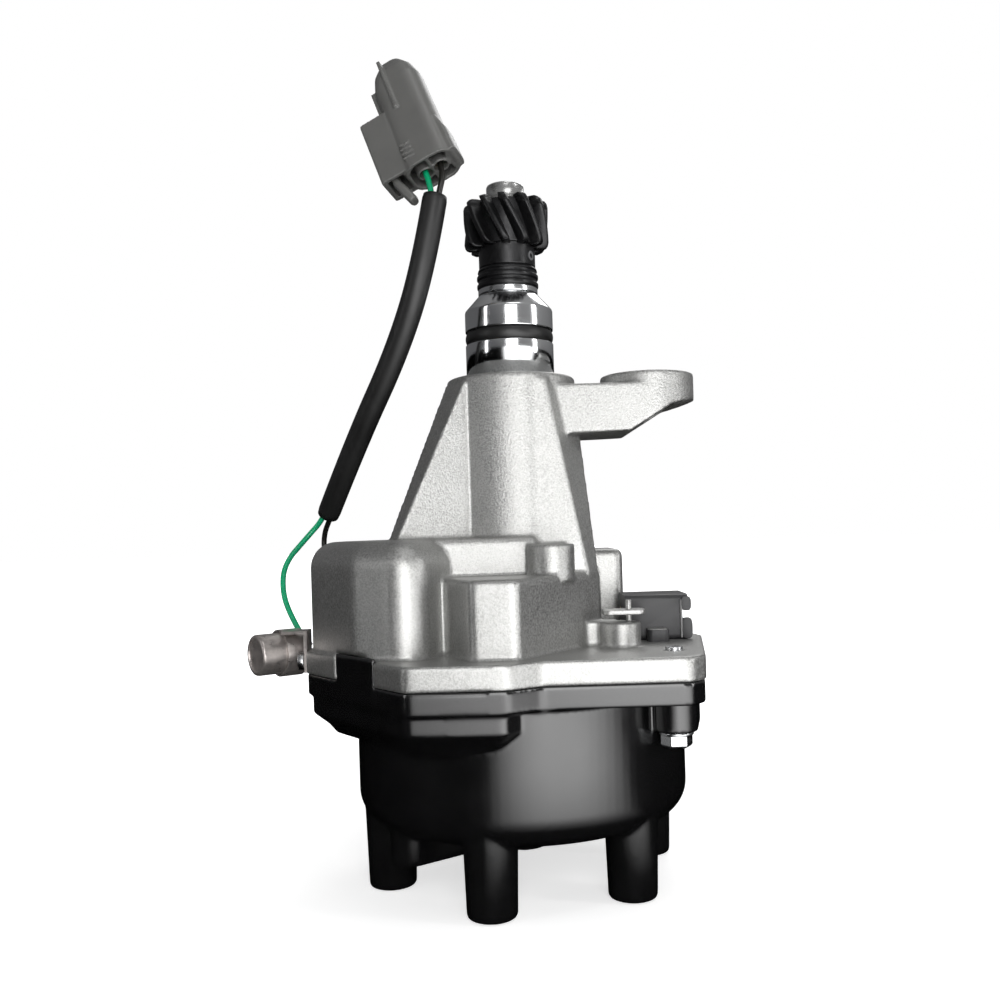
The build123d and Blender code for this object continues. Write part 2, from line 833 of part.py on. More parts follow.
with BuildPart() as rotor_screw:
    with BuildSketch(Plane.YZ.offset(-bearing_bore / 2 + rotor_screw_d)):
        with Locations((0, z_rotor_screw)):
            Circle(rotor_screw_d / 2)
    extrude(amount=-(hub_r - bearing_bore / 2) - rotor_screw_d)
    with BuildSketch(Plane.YZ.offset(-hub_r)):
        with Locations((0, z_rotor_screw)):
            Circle(rotor_screw_d * 0.8)
    extrude(amount=-small_head_h)
finish(rotor_screw.part, "rotor_screw")

# Cap: rim, coil lobe, dome, screw lugs, towers and the high-tension rib in one moulding
tower_places = [polar(tower_circle, tower_angle + 360 / tower_count * step) for step in range(tower_count)]
hv_turn = Location((0, 0, 0), (0, 0, hv_angle))
with BuildPart() as dome_blank:
    with BuildSketch(Plane.XY.offset(z_split)):
        Circle(dome_r)
    extrude(amount=-dome_drop)
    fillet(dome_blank.faces().sort_by(Axis.Z)[0].edges(), dome_round)
with BuildPart() as distributor_cap:
    extrude(plan(flange_outline, 4.0, z_split, -rim_inset), amount=-rim_t)
    extrude(plan(cap_lobe_outline, 3.0, z_split, -rim_inset), amount=-skirt_t)
    extrude(plan(cap_lobe_outline, 3.0, z_split - skirt_t, -rim_inset), amount=-lobe_chamfer, taper=45)
    add(dome_blank.part)
    with BuildSketch(Plane.XY.offset(z_split)):
        with BuildSketch(mode=Mode.PRIVATE) as lug_ends:
            with Locations(screw_places[0]):
                Circle(lug_r)
            with Locations(lug_point):
                Circle(lug_point_r)
        make_hull(lug_ends.edges())
        with Locations(*screw_places[1:]):
            Circle(lug_r)
    extrude(amount=-lug_t)
    with BuildSketch(Plane.XY.offset(z_split - rim_t)):
        with Locations(facet_turn * Location((0, notch_depth - tab_gap - tab_t / 2, 0))):
            Rectangle(notch_w - 2 * tab_gap, tab_t)
    extrude(amount=rim_t + notch_h - tab_gap)
    with BuildSketch(Plane.XY.offset(z_foot)):
        with Locations(*tower_places):
            Circle(tower_end_r)
    extrude(amount=tower_length + dome_round, taper=-tower_draft)
    fillet(distributor_cap.faces().sort_by(Axis.Z)[:tower_count].edges(), 1.2)
    with BuildSketch(Plane.XY.offset(z_dome - hv_rib_drop)):
        with Locations(hv_turn):
            with Locations((hv_circle / 2, 0)):
                SlotOverall(hv_circle + hv_rib_w, hv_rib_w)
    extrude(amount=hv_rib_drop + dome_round)
    with BuildSketch(Plane.XY.offset(z_dome - centre_boss_drop)):
        Circle(centre_boss_r)
    extrude(amount=centre_boss_drop + 2)
    with BuildSketch(Plane.XY.offset(z_split)):
        Circle(dome_r - cap_wall)
    extrude(amount=-dome_drop + cap_wall, mode=Mode.SUBTRACT)
    extrude(plan(cap_lobe_inside, 2.5, z_split), amount=-skirt_t + cap_wall, mode=Mode.SUBTRACT)
    with BuildSketch(Plane.XY.offset(z_dome + 1)):
        with Locations(hv_place):
            Circle(hv_post_r)
    extrude(amount=z_hv_post - z_dome - 1)
    with BuildSketch(Plane.XY.offset(z_dome + 1)):
        Circle(brush_post_r)
        with Locations(*tower_places):
            Circle(terminal_post_r)
    extrude(amount=z_brush_post - z_dome - 1)
    with BuildSketch(Plane.XY.offset(z_hv_post)):
        with Locations(hv_place):
            Circle(coil_tower_r)
    extrude(amount=-coil_tower_dip, mode=Mode.SUBTRACT)
    extrude(discs(tower_places, socket_r, z_foot), amount=socket_depth, mode=Mode.SUBTRACT)
    extrude(discs(screw_places, cap_screw_d / 2, z_split), amount=-lug_t, mode=Mode.SUBTRACT)
    with BuildSketch(Plane.XY.offset(z_split)):
        add(plan(flange_outline, 4.0, z_split, -rim_inset - gasket_inset))
        add(plan(flange_outline, 4.0, z_split, -rim_inset - gasket_inset - gasket_w), mode=Mode.SUBTRACT)
    extrude(amount=-gasket_t, mode=Mode.SUBTRACT)
    with BuildSketch(Plane.XY.offset(z_brush_post)):
        Circle(brush_d / 2 + run_gap)
    extrude(amount=z_spring_low - z_brush_post, mode=Mode.SUBTRACT)
    extrude(discs(tower_places, terminal_r, z_socket), amount=z_terminal - z_socket, mode=Mode.SUBTRACT)
    with BuildSketch(Plane.XY.offset(z_strip)):
        with Locations(hv_place, (0, 0)):
            Circle(strip_r)
        with Locations(hv_turn):
            with Locations((hv_circle / 2, 0)):
                Rectangle(hv_circle, strip_r * 1.6)
    extrude(amount=1.2, mode=Mode.SUBTRACT)
    extrude(discs([hv_place], strip_r, z_strip), amount=z_hv_post - z_strip, mode=Mode.SUBTRACT)
    extrude(discs([(0, 0)], strip_r, z_strip), amount=z_spring_low - z_strip, mode=Mode.SUBTRACT)
finish(distributor_cap.part, "distributor_cap")

# Gasket in the cap's rim
with BuildPart() as cap_gasket:
    with BuildSketch(Plane.XY.offset(z_split)):
        add(plan(flange_outline, 4.0, z_split, -rim_inset - gasket_inset))
        add(plan(flange_outline, 4.0, z_split, -rim_inset - gasket_inset - gasket_w), mode=Mode.SUBTRACT)
    extrude(amount=-gasket_t)
finish(cap_gasket.part, "cap_gasket")

# Cap screws: washer, hexagon head and shank up through the lug into the flange
with BuildPart() as cap_screws:
    extrude(discs(screw_places, cap_screw_d / 2, z_cap_screw), amount=z_flange - z_cap_screw)
    extrude(discs(screw_places, cap_washer_d / 2, z_split - lug_t), amount=-cap_washer_t)
    with BuildSketch(Plane.XY.offset(z_cap_screw)):
        with Locations(*screw_places):
            RegularPolygon(cap_screw_head_af / 2, 6, major_radius=False)
    extrude(amount=-cap_screw_head_h)
finish(cap_screws.part, "cap_screws")

# Tower terminals: a pin moulded into each tower with a foot that the rotor sweeps past
with BuildPart() as tower_terminals:
    extrude(discs(tower_places, terminal_r, z_socket), amount=z_terminal - z_socket)
    with BuildSketch(Plane.XY.offset(z_terminal)):
        with PolarLocations(0, tower_count, start_angle=tower_angle):
            with Locations((terminal_inner_r, 0)):
                Rectangle(tower_circle - terminal_inner_r, 2 * terminal_r, align=(Align.MIN, Align.CENTER))
    extrude(amount=terminal_foot_h)
finish(tower_terminals.part, "tower_terminals")

# High-tension strip from the coil's tower down its post and along the rib to the centre
with BuildPart() as high_tension_strip:
    with BuildSketch(Plane.XY.offset(z_strip)):
        with Locations(hv_place, (0, 0)):
            Circle(strip_r)
        with Locations(hv_turn):
            with Locations((hv_circle / 2, 0)):
                Rectangle(hv_circle, strip_r * 1.6)
    extrude(amount=1.2)
    extrude(discs([hv_place], strip_r, z_strip), amount=z_hv_post - coil_tower_dip - z_strip)
    extrude(discs([(0, 0)], strip_r, z_strip), amount=z_spring_low - z_strip)
finish(high_tension_strip.part, "high_tension_strip")

# Carbon brush and its spring
with BuildPart() as carbon_brush:
    with BuildSketch(Plane.XY.offset(z_contact - brush_gap)):
        Circle(brush_d / 2)
    extrude(amount=-brush_length)
    chamfer(carbon_brush.edges().filter_by(GeomType.CIRCLE).sort_by(Axis.Z)[-1], 0.6)
finish(carbon_brush.part, "carbon_brush")
spring_r = brush_d / 2 - 0.4 - spring_wire_r
spring_length = z_contact - brush_gap - brush_length - z_spring_low - 2 * spring_wire_r - 0.1
with BuildPart() as brush_spring:
    with BuildLine():
        Helix(spring_pitch, spring_length, spring_r, center=(0, 0, z_spring_low + spring_wire_r + 0.05))
    with BuildSketch(Plane.XZ):
        with Locations((spring_r, z_spring_low + spring_wire_r + 0.05)):
            Circle(spring_wire_r)
    sweep(is_frenet=True)
finish(brush_spring.part, "brush_spring")

# Sensor base plate, pickup and screws
with BuildPart() as sensor_plate:
    with BuildSketch(Plane.XY.offset(z_split)):
        Circle(plate_r)
        Circle(plate_hole_r, mode=Mode.SUBTRACT)
        with Locations(hv_place):
            Circle(coil_tower_r + 2, mode=Mode.SUBTRACT)
        with Locations(*plate_screws):
            Circle(small_screw_d / 2, mode=Mode.SUBTRACT)
        with PolarLocations(28, 5, start_angle=200, angular_range=130):
            SlotOverall(9, 4, rotation=90, mode=Mode.SUBTRACT)
    extrude(amount=-plate_t)
finish(sensor_plate.part, "sensor_plate")
screws(
    plate_screws,
    z_split - plate_t,
    plate_screw_length,
    small_screw_d,
    small_head_d,
    small_head_h,
    "plate_screws",
)
with BuildPart() as sensor_pickup:
    with BuildSketch(Plane.XY.offset(z_split - plate_t)):
        with Locations((0, 30.5)):
            Rectangle(pickup_w, 19)
    extrude(amount=-pickup_h)
    with BuildSketch(Plane.XY.offset(z_disc + 0.9)):
        Circle(disc_r + 1)
    extrude(amount=-disc_t - 1.8, mode=Mode.SUBTRACT)
finish(sensor_pickup.part, "sensor_pickup")

# Dust cover on four legs
cover_legs = [polar(plate_r - 4, angle) for angle in (45, 135, 255, 345)]
with BuildPart() as dust_cover:
    with BuildSketch(Plane.XY.offset(z_cover)):
        Circle(plate_r)
        Circle(hub_r + 1.5, mode=Mode.SUBTRACT)
        with Locations(hv_place):
            Circle(hv_post_r + 1, mode=Mode.SUBTRACT)
        with Locations(*cover_legs):
            Circle(small_screw_d / 2, mode=Mode.SUBTRACT)
    extrude(amount=-cover_t)
    with BuildSketch(Plane.XY.offset(z_cover)):
        with Locations(*cover_legs):
            Circle(cover_leg_r)
            Circle(small_screw_d / 2, mode=Mode.SUBTRACT)
    extrude(amount=z_split - plate_t - z_cover)
finish(dust_cover.part, "dust_cover")
screws(
    cover_legs,
    z_cover - cover_t,
    plate_screw_length,
    small_screw_d,
    small_head_d,
    small_head_h,
    "cover_screws",
)

# Ignition coil: wound block, laminated core ring and its screws
core_mid = z_core - core_h + core_bar / 2
coil_top = z_core - core_bar - 0.2
coil_low = coil_top - coil_h
coil_length = coil_y[1] - coil_y[0]
with BuildPart() as coil_core:
    with BuildSketch(Plane.YZ.offset(core_place[0] - core_w / 2)):
        with Locations((core_place[1], z_core - core_h / 2)):
            Rectangle(coil_length + 2 * core_bar, core_h)
            Rectangle(coil_length, core_h - 2 * core_bar, mode=Mode.SUBTRACT)
    extrude(amount=core_w)
    extrude(discs(core_screws, small_screw_d / 2, z_core - core_h), amount=core_h, mode=Mode.SUBTRACT)
finish(coil_core.part, "coil_core")
with BuildPart() as ignition_coil:
    with BuildSketch(Plane.XY.offset(coil_low)):
        with Locations(core_place):
            RectangleRounded(coil_x[1] - coil_x[0], coil_length, 2)
    extrude(amount=coil_h)
    with BuildSketch(Plane.XY.offset(coil_low)):
        with Locations(hv_place):
            Circle(coil_tower_r)
    extrude(amount=z_hv_post - coil_tower_dip - coil_low)
    with BuildSketch(Plane.YZ.offset(core_place[0] - core_w / 2)):
        with Locations((core_place[1], core_mid)):
            Rectangle(coil_length, core_bar)
    extrude(amount=core_w, mode=Mode.SUBTRACT)
finish(ignition_coil.part, "ignition_coil")
screws(core_screws, z_core - core_h, core_h + 4.5, small_screw_d, small_head_d, small_head_h, "coil_screws")

# Power transistor module on the roof of the rear block
with BuildPart() as igniter_module:
    with BuildSketch(Plane.XY.offset(module_top)):
        with Locations(module_place):
            RectangleRounded(module_size[0], module_size[1], 1.5)
    extrude(amount=-module_size[2])
finish(igniter_module.part, "igniter_module")

# Signal connector: open shroud facing along the arm, with a latch notch in each side wall
shell_mid = ((shell_x[0] + shell_x[1]) / 2, (shell_y[0] + shell_y[1]) / 2)
shell_length = shell_x[1] - shell_x[0]
shell_width = shell_y[1] - shell_y[0]
with BuildPart() as connector_shell:
    with BuildSketch(Plane.YZ.offset(shell_x[0])):
        with Locations((shell_mid[1], z_flange + shell_h / 2)):
            RectangleRounded(shell_width, shell_h, 1.6)
    extrude(amount=shell_length)
    with BuildSketch(Plane.YZ.offset(shell_x[1])):
        with Locations((shell_mid[1], z_flange + shell_h / 2)):
            Rectangle(shell_width - 2 * shell_wall, shell_h - 2 * shell_wall)
    extrude(amount=-shell_length + 3, mode=Mode.SUBTRACT)
    with BuildSketch(Plane.XZ.offset(-shell_y[1] - 1)):
        with Locations((shell_x[1], z_flange + shell_h * 0.62)):
            Rectangle(5, 4.4)
    extrude(amount=shell_width + 2, mode=Mode.SUBTRACT)
    with BuildSketch(Plane.XY.offset(z_flange)):
        with Locations((shell_x[0] + 9.5, shell_y[0] - 2.5)):
            RectangleRounded(6.5, 7, 1.5)
    extrude(amount=3.6)
    with BuildSketch(Plane.YZ.offset(shell_x[0])):
        with Locations((shell_mid[1], z_flange + shell_h / 2)):
            with GridLocations(5.0, 4.4, pin_count // 2, 2):
                Circle(pin_r)
    extrude(amount=3, mode=Mode.SUBTRACT)
finish(connector_shell.part, "connector_shell")
with BuildPart() as connector_pins:
    with BuildSketch(Plane.YZ.offset(shell_x[0])):
        with Locations((shell_mid[1], z_flange + shell_h / 2)):
            with GridLocations(5.0, 4.4, pin_count // 2, 2):
                Circle(pin_r)
    extrude(amount=shell_length - 5)
finish(connector_pins.part, "connector_pins")

# Hold-down clip: a thin plate over the lug, on its rivet
with BuildPart() as connector_clip:
    with BuildSketch(Plane.XY.offset(z_flange + clip_lug_h + 2.2)):
        with Locations((clip_lug[0] + 1, clip_lug[1] + 1)):
            RectangleRounded(12.5, 8, 2)
    extrude(amount=1.4)
    extrude(discs([(clip_lug[0] + 2.5, clip_lug[1])], 0.9, z_flange + clip_lug_h), amount=6.5)
finish(connector_clip.part, "connector_clip")

# Condenser can, its bracket and screw on the flange's left edge
can_turn = Plane(
    origin=(can_end[0], can_end[1], -can_drop),
    x_dir=(0, 0, 1),
    z_dir=(-cos(radians(can_angle)), -sin(radians(can_angle)), 0),
)
with BuildPart() as condenser_can:
    with BuildSketch(can_turn):
        Circle(can_d / 2)
    extrude(amount=can_length)
    fillet(condenser_can.edges().filter_by(GeomType.CIRCLE), 0.8)
finish(condenser_can.part, "condenser_can")
with BuildPart() as condenser_bracket:
    with BuildSketch(Plane.YZ.offset(flange_left - strap_t)):
        with Locations((bracket_y, z_flange - 0.5)):
            Rectangle(8, 13)
    extrude(amount=strap_t)
    with BuildSketch(Plane.XY.offset(z_flange + 5)):
        with Locations((flange_left - 4, bracket_y)):
            Rectangle(8, 7)
    extrude(amount=strap_t)
    with BuildSketch(can_turn.offset(can_length - strap_w)):
        Circle(can_d / 2 + strap_t)
    extrude(amount=strap_w)
    with BuildSketch(can_turn):
        Circle(can_d / 2)
    extrude(amount=can_length, mode=Mode.SUBTRACT)
    with BuildSketch(Plane.YZ.offset(flange_left - strap_t)):
        with Locations((bracket_screw_y, z_split + flange_t / 2)):
            Circle(small_screw_d / 2)
    extrude(amount=strap_t, mode=Mode.SUBTRACT)
finish(condenser_bracket.part, "condenser_bracket")
with BuildPart() as condenser_screw:
    with BuildSketch(Plane.YZ.offset(flange_left - strap_t)):
        with Locations((bracket_screw_y, z_split + flange_t / 2)):
            Circle(small_screw_d / 2)
    extrude(amount=strap_t + 5)
    with BuildSketch(Plane.YZ.offset(flange_left - strap_t)):
        with Locations((bracket_screw_y, z_split + flange_t / 2)):
            Circle(small_head_d / 2)
    extrude(amount=-small_head_h)
finish(condenser_screw.part, "condenser_screw")
with BuildPart() as condenser_boot:
    with BuildSketch(can_turn.offset(can_length)):
        Circle(boot_r * 1.9)
    extrude(amount=boot_length * 0.6)
    with BuildSketch(Plane(origin=green_route[0], z_dir=Vector(green_route[1]) - Vector(green_route[0]))):
        Circle(boot_r)
    extrude(amount=-boot_length)
    with BuildSketch(can_turn):
        Circle(can_d / 2)
    extrude(amount=can_length, mode=Mode.SUBTRACT)
finish(condenser_boot.part, "condenser_boot")


def bend_radii(points):
    """The radius of each bend of a route, as large as its two runs allow."""
    radii = []
    for before, here, after in zip(points, points[1:], points[2:]):
        run_in = Vector(here) - Vector(before)
        run_out = Vector(after) - Vector(here)
        half_turn = radians(run_in.get_angle(run_out)) / 2
        radii.append(bend_share * min(run_in.length, run_out.length) / tan(half_turn))
    return radii


def tube(points, diameter, name):
    """A round lead along straight runs joined by tangent arcs."""
    radii = bend_radii(points)
    with BuildPart() as lead:
        with BuildLine():
            route = FilletPolyline(*points, radius=radii)
        with BuildSketch(Plane(origin=points[0], z_dir=route % 0)):
            Circle(diameter / 2)
        sweep(transition=Transition.ROUND)
    ideal = pi * diameter**2 / 4 * route.length
    print(name, "radii", [round(radius, 1) for radius in radii], "length", round(route.length, 1))
    print(name, "volume over section times length", round(lead.part.volume / ideal, 4))
    finish(lead.part, name)


tube(sleeve_route, sleeve_d, "wire_sleeve")
tube(green_route, wire_d, "green_wire")
tube(black_route, wire_d, "black_wire")

# Plug: rounded body, two wire cells in a hollow mouth, and the lock box at its side
plug_plane = Plane(origin=plug_mouth, x_dir=plug_across, z_dir=plug_way)
with BuildPart() as plug_housing:
    with BuildSketch(plug_plane):
        RectangleRounded(plug_size[0], plug_size[1], 5)
    with BuildSketch(plug_plane.offset(plug_length * plug_shoulder)):
        RectangleRounded(plug_size[0] - 0.8, plug_size[1] - 1.2, 5)
    with BuildSketch(plug_plane.offset(plug_length * (1 + plug_shoulder) / 2)):
        RectangleRounded(*[(low + high) / 2 + 1 for low, high in zip(plug_size, plug_end_size)], 4.5)
    with BuildSketch(plug_plane.offset(plug_length)):
        RectangleRounded(plug_end_size[0], plug_end_size[1], 3)
    loft(ruled=True)
    with BuildSketch(plug_plane.offset(1)):
        with Locations((-plug_size[0] / 2 + 1 - lock_size[0] / 2, 0)):
            RectangleRounded(lock_size[0] + 2, lock_size[1], 1)
    extrude(amount=lock_size[2] - 1)
    with BuildSketch(plug_plane):
        RectangleRounded(plug_size[0] - 2.4, plug_size[1] - 2.4, 4)
        with Locations((-cell_pitch / 2, 0), (cell_pitch / 2, 0)):
            Circle(cell_r + 0.7, mode=Mode.SUBTRACT)
        Rectangle(1.0, plug_size[1], mode=Mode.SUBTRACT)
    extrude(amount=cell_depth * 0.6, mode=Mode.SUBTRACT)
    with BuildSketch(plug_plane):
        with Locations((-cell_pitch / 2, 0), (cell_pitch / 2, 0)):
            Circle(cell_r)
    extrude(amount=cell_depth, mode=Mode.SUBTRACT)
    with BuildSketch(plug_plane.offset(1)):
        with Locations((-plug_size[0] / 2 + 0.6 - lock_size[0] / 2, 0)):
            RectangleRounded(lock_size[0] - 2, lock_size[1] - 3, 0.6)
    extrude(amount=lock_size[2] - 5, mode=Mode.SUBTRACT)
finish(plug_housing.part, "plug_housing")
with BuildPart() as plug_lock:
    with BuildSketch(plug_plane.offset(3)):
        with Locations((-plug_size[0] / 2 + 0.6 - lock_size[0] / 2, 0)):
            RectangleRounded(2.4, lock_size[1] - 5, 0.8)
    extrude(amount=lock_size[2] - 7)
finish(plug_lock.part, "plug_lock")
with BuildPart() as plug_terminals:
    with BuildSketch(plug_plane.offset(cell_depth)):
        with Locations((-cell_pitch / 2, 0), (cell_pitch / 2, 0)):
            Circle(cell_r)
    extrude(amount=wire_dip - cell_depth)
finish(plug_terminals.part, "plug_terminals")


def cell_route(side):
    """From the sleeve's end to a terminal in the plug, for one of the two wires."""
    sleeve_end = Vector(sleeve_route[-1])
    sleeve_way = (sleeve_end - Vector(sleeve_route[-2])).normalized()
    across = plug_plane.x_dir - sleeve_way * plug_plane.x_dir.dot(sleeve_way)
    start = sleeve_end + across.normalized() * side * wire_d * 0.7
    before_mouth = plug_plane.from_local_coords(Vector(side * cell_pitch / 2, 0, -2.2))
    last = plug_plane.from_local_coords(Vector(side * cell_pitch / 2, 0, wire_dip))
    return [tuple(point) for point in (start, start + sleeve_way * 2.8, before_mouth, last)]


tube(cell_route(-1), wire_d, "green_wire_end")
tube(cell_route(1), wire_d, "black_wire_end")

# Grommet of the black wire in the coil chamber's wall
with BuildPart() as wire_grommet:
    with BuildSketch(grommet_plane):
        Circle(grommet_r)
    extrude(amount=-grommet_t)
finish(wire_grommet.part, "wire_grommet")
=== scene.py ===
from math import cos, pi, radians, sin

import bmesh
import bpy
from mathutils import Matrix, Vector


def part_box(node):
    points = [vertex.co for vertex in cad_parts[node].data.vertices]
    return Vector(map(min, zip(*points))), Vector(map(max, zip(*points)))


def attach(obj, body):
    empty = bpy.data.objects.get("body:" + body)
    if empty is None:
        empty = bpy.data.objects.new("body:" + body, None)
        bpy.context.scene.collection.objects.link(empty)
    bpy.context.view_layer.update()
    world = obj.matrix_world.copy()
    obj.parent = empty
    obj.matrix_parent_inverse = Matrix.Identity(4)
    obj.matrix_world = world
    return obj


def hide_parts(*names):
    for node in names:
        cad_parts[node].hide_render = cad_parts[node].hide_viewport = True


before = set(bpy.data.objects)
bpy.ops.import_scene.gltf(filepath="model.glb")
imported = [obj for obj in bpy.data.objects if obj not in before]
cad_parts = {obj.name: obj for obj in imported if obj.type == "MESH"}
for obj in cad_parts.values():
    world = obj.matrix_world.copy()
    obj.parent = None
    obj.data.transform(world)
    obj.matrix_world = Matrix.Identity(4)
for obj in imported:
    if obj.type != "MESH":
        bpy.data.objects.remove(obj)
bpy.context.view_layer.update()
scene = bpy.context.scene
scene.view_settings.view_transform = "Standard"
mm = 0.001

# Camera: eye level with the coil chamber's top, seen along +Y, leaning a little
eye_height = -48.0
eye_distance = 326.0
focal_pixels = 1018.0
frame_pixels = 1000.0
lean = radians(-1.75)
camera_data = bpy.data.cameras.new("camera")
camera_data.sensor_width = 36.0
camera_data.lens = focal_pixels / frame_pixels * camera_data.sensor_width
camera_data.shift_x = -0.0152
camera_data.shift_y = 0.03
camera_data.clip_start = 0.01
camera = bpy.data.objects.new("camera", camera_data)
camera.matrix_world = (
    Matrix.Translation((0, -eye_distance * mm, eye_height * mm))
    @ Matrix.Rotation(radians(90), 4, "X")
    @ Matrix.Rotation(lean, 4, "Z")
)
scene.collection.objects.link(camera)
scene.camera = camera


# Mesh tools
def thousandth(points):
    """Points given in millimetres, in metres."""
    return [Vector(point) * mm for point in points]


def new_piece(name, mesh, smooth=True):
    """An object at the origin from a mesh or a bmesh."""
    if isinstance(mesh, bmesh.types.BMesh):
        data = bpy.data.meshes.new(name)
        mesh.to_mesh(data)
        mesh.free()
        mesh = data
    piece = bpy.data.objects.new(name, mesh)
    scene.collection.objects.link(piece)
    if smooth:
        mesh.shade_smooth()
    return piece


def settle(piece):
    """Applies the modifiers of a piece, so that its mesh is what shows."""
    bpy.context.view_layer.update()
    evaluated = piece.evaluated_get(bpy.context.evaluated_depsgraph_get())
    settled = bpy.data.meshes.new_from_object(evaluated)
    piece.modifiers.clear()
    piece.data = settled
    return piece


def softened(piece, width, angle=35):
    """Rounds the edges of a piece that are sharper than an angle in degrees."""
    bevel = piece.modifiers.new("edges", "BEVEL")
    bevel.width = width * mm
    bevel.segments = 3
    bevel.limit_method = "ANGLE"
    bevel.angle_limit = radians(angle)
    bevel.harden_normals = True
    return settle(piece)


def lathe_mesh(profile, steps=96):
    """A bmesh turned about the Z axis from a closed loop of (radius, height) in millimetres."""
    mesh = bmesh.new()
    rings = []
    for step in range(steps):
        angle = radians(360.0 * step / steps)
        c, s = cos(angle) * mm, sin(angle) * mm
        rings.append([mesh.verts.new((r * c, r * s, z * mm)) for r, z in profile])
    for step in range(steps):
        here, after = rings[step], rings[(step + 1) % steps]
        for i in range(len(profile)):
            j = (i + 1) % len(profile)
            mesh.faces.new((here[i], after[i], after[j], here[j]))
    bmesh.ops.remove_doubles(mesh, verts=mesh.verts, dist=1e-7)
    bmesh.ops.dissolve_degenerate(mesh, edges=mesh.edges, dist=1e-8)
    bmesh.ops.recalc_face_normals(mesh, faces=mesh.faces)
    return mesh


def rounded_profile(corners, rounds, steps=4):
    """A closed loop of (radius, height) with its corners rounded."""
    loop = []
    for i, (corner, size) in enumerate(zip(corners, rounds)):
        here = Vector(corner)
        if size <= 0:
            loop.append(tuple(here))
            continue
        before, after = Vector(corners[i - 1]), Vector(corners[(i + 1) % len(corners)])
        start = here + (before - here).normalized() * size
        end = here + (after - here).normalized() * size
        for step in range(steps + 1):
            t = step / steps
            loop.append(tuple((1 - t) ** 2 * start + 2 * t * (1 - t) * here + t**2 * end))
    return loop


def turned(name, corners, rounds, steps=96):
    """A turned piece with rounded edges."""
    return new_piece(name, lathe_mesh(rounded_profile(corners, rounds), steps))


def super_loop(half_x, half_y, power, count=40, centre=(0.0, 0.0)):
    """A rounded rectangle or an ellipse, as points in plan."""
    loop = []
    for step in range(count):
        angle = 2 * pi * step / count
        c, s = cos(angle), sin(angle)
        x = half_x * abs(c) ** (2 / power) * (1 if c >= 0 else -1)
        y = half_y * abs(s) ** (2 / power) * (1 if s >= 0 else -1)
        loop.append((centre[0] + x, centre[1] + y))
    return loop


def lofted_mesh(loops):
    """A closed bmesh through loops of points in space, in millimetres."""
    mesh = bmesh.new()
    rows = [[mesh.verts.new(Vector(point) * mm) for point in loop] for loop in loops]
    count = len(loops[0])
    for here, after in zip(rows, rows[1:]):
        for i in range(count):
            j = (i + 1) % count
            mesh.faces.new((here[i], here[j], after[j], after[i]))
    mesh.faces.new(list(reversed(rows[0])))
    mesh.faces.new(rows[-1])
    bmesh.ops.recalc_face_normals(mesh, faces=mesh.faces)
    return mesh


def prism_mesh(outline, low, high):
    """A closed bmesh from a plan outline between two heights, in millimetres."""
    return lofted_mesh([[(x, y, low) for x, y in outline], [(x, y, high) for x, y in outline]])


def joined(meshes):
    """One bmesh from several."""
    whole = bmesh.new()
    for mesh in meshes:
        data = bpy.data.meshes.new("part")
        mesh.to_mesh(data)
        mesh.free()
        whole.from_mesh(data)
        bpy.data.meshes.remove(data)
    return whole


def placed(mesh, origin, way, across):
    """A bmesh made about the Z axis, moved to an origin and turned to a way, all in millimetres."""
    z = Vector(way).normalized()
    x = (Vector(across) - z * Vector(across).dot(z)).normalized()
    turn = Matrix((x, z.cross(x), z)).transposed().to_4x4()
    bmesh.ops.transform(mesh, matrix=Matrix.Translation(Vector(origin) * mm) @ turn, verts=mesh.verts)
    return mesh


def cast_copy(node, name, voxel, rounds, extra=(), cut_above=None, most_faces=180000):
    """A copy of a CAD node whose edges and inner corners are rounded as a mould leaves them.

    extra holds bmeshes that become one with it, and what lies above cut_above is taken off."""
    mesh = bmesh.new()
    mesh.from_mesh(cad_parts[node].data)
    bmesh.ops.remove_doubles(mesh, verts=mesh.verts, dist=1e-6)
    if cut_above is not None:
        everything = mesh.verts[:] + mesh.edges[:] + mesh.faces[:]
        cut = bmesh.ops.bisect_plane(
            mesh, geom=everything, plane_co=(0, 0, cut_above * mm), plane_no=(0, 0, 1), clear_outer=True
        )
        rim = [edge for edge in cut["geom_cut"] if isinstance(edge, bmesh.types.BMEdge)]
        bmesh.ops.holes_fill(mesh, edges=rim)
    piece = new_piece(name, joined([mesh, *extra]))
    exact = bpy.data.objects.new("exact", piece.data.copy())
    scene.collection.objects.link(exact)
    remesh = piece.modifiers.new("skin", "REMESH")
    remesh.mode = "VOXEL"
    remesh.voxel_size = voxel * mm
    wrap = piece.modifiers.new("true_faces", "SHRINKWRAP")
    wrap.target = exact
    smooth = piece.modifiers.new("rounds", "SMOOTH")
    smooth.factor = 0.5
    smooth.iterations = rounds
    settle(piece)
    bpy.data.objects.remove(exact)
    if len(piece.data.polygons) > most_faces:
        thin = piece.modifiers.new("thin", "DECIMATE")
        thin.ratio = most_faces / len(piece.data.polygons)
        settle(piece)
    piece.data.shade_smooth()
    return piece


def edged_copy(node, name, width, extra=()):
    """A copy of a CAD node with rounded sharp edges; extra holds bmeshes that stand on it."""
    mesh = bmesh.new()
    mesh.from_mesh(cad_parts[node].data)
    bmesh.ops.remove_doubles(mesh, verts=mesh.verts, dist=1e-6)
    bmesh.ops.dissolve_limit(mesh, angle_limit=radians(1), verts=mesh.verts, edges=mesh.edges)
    return softened(new_piece(name, joined([mesh, *extra])), width)


def box_mesh(low, high):
    """A closed box between two corners in millimetres."""
    (x0, y0, z0), (x1, y1, z1) = low, high
    return prism_mesh([(x0, y0), (x1, y0), (x1, y1), (x0, y1)], z0, z1)


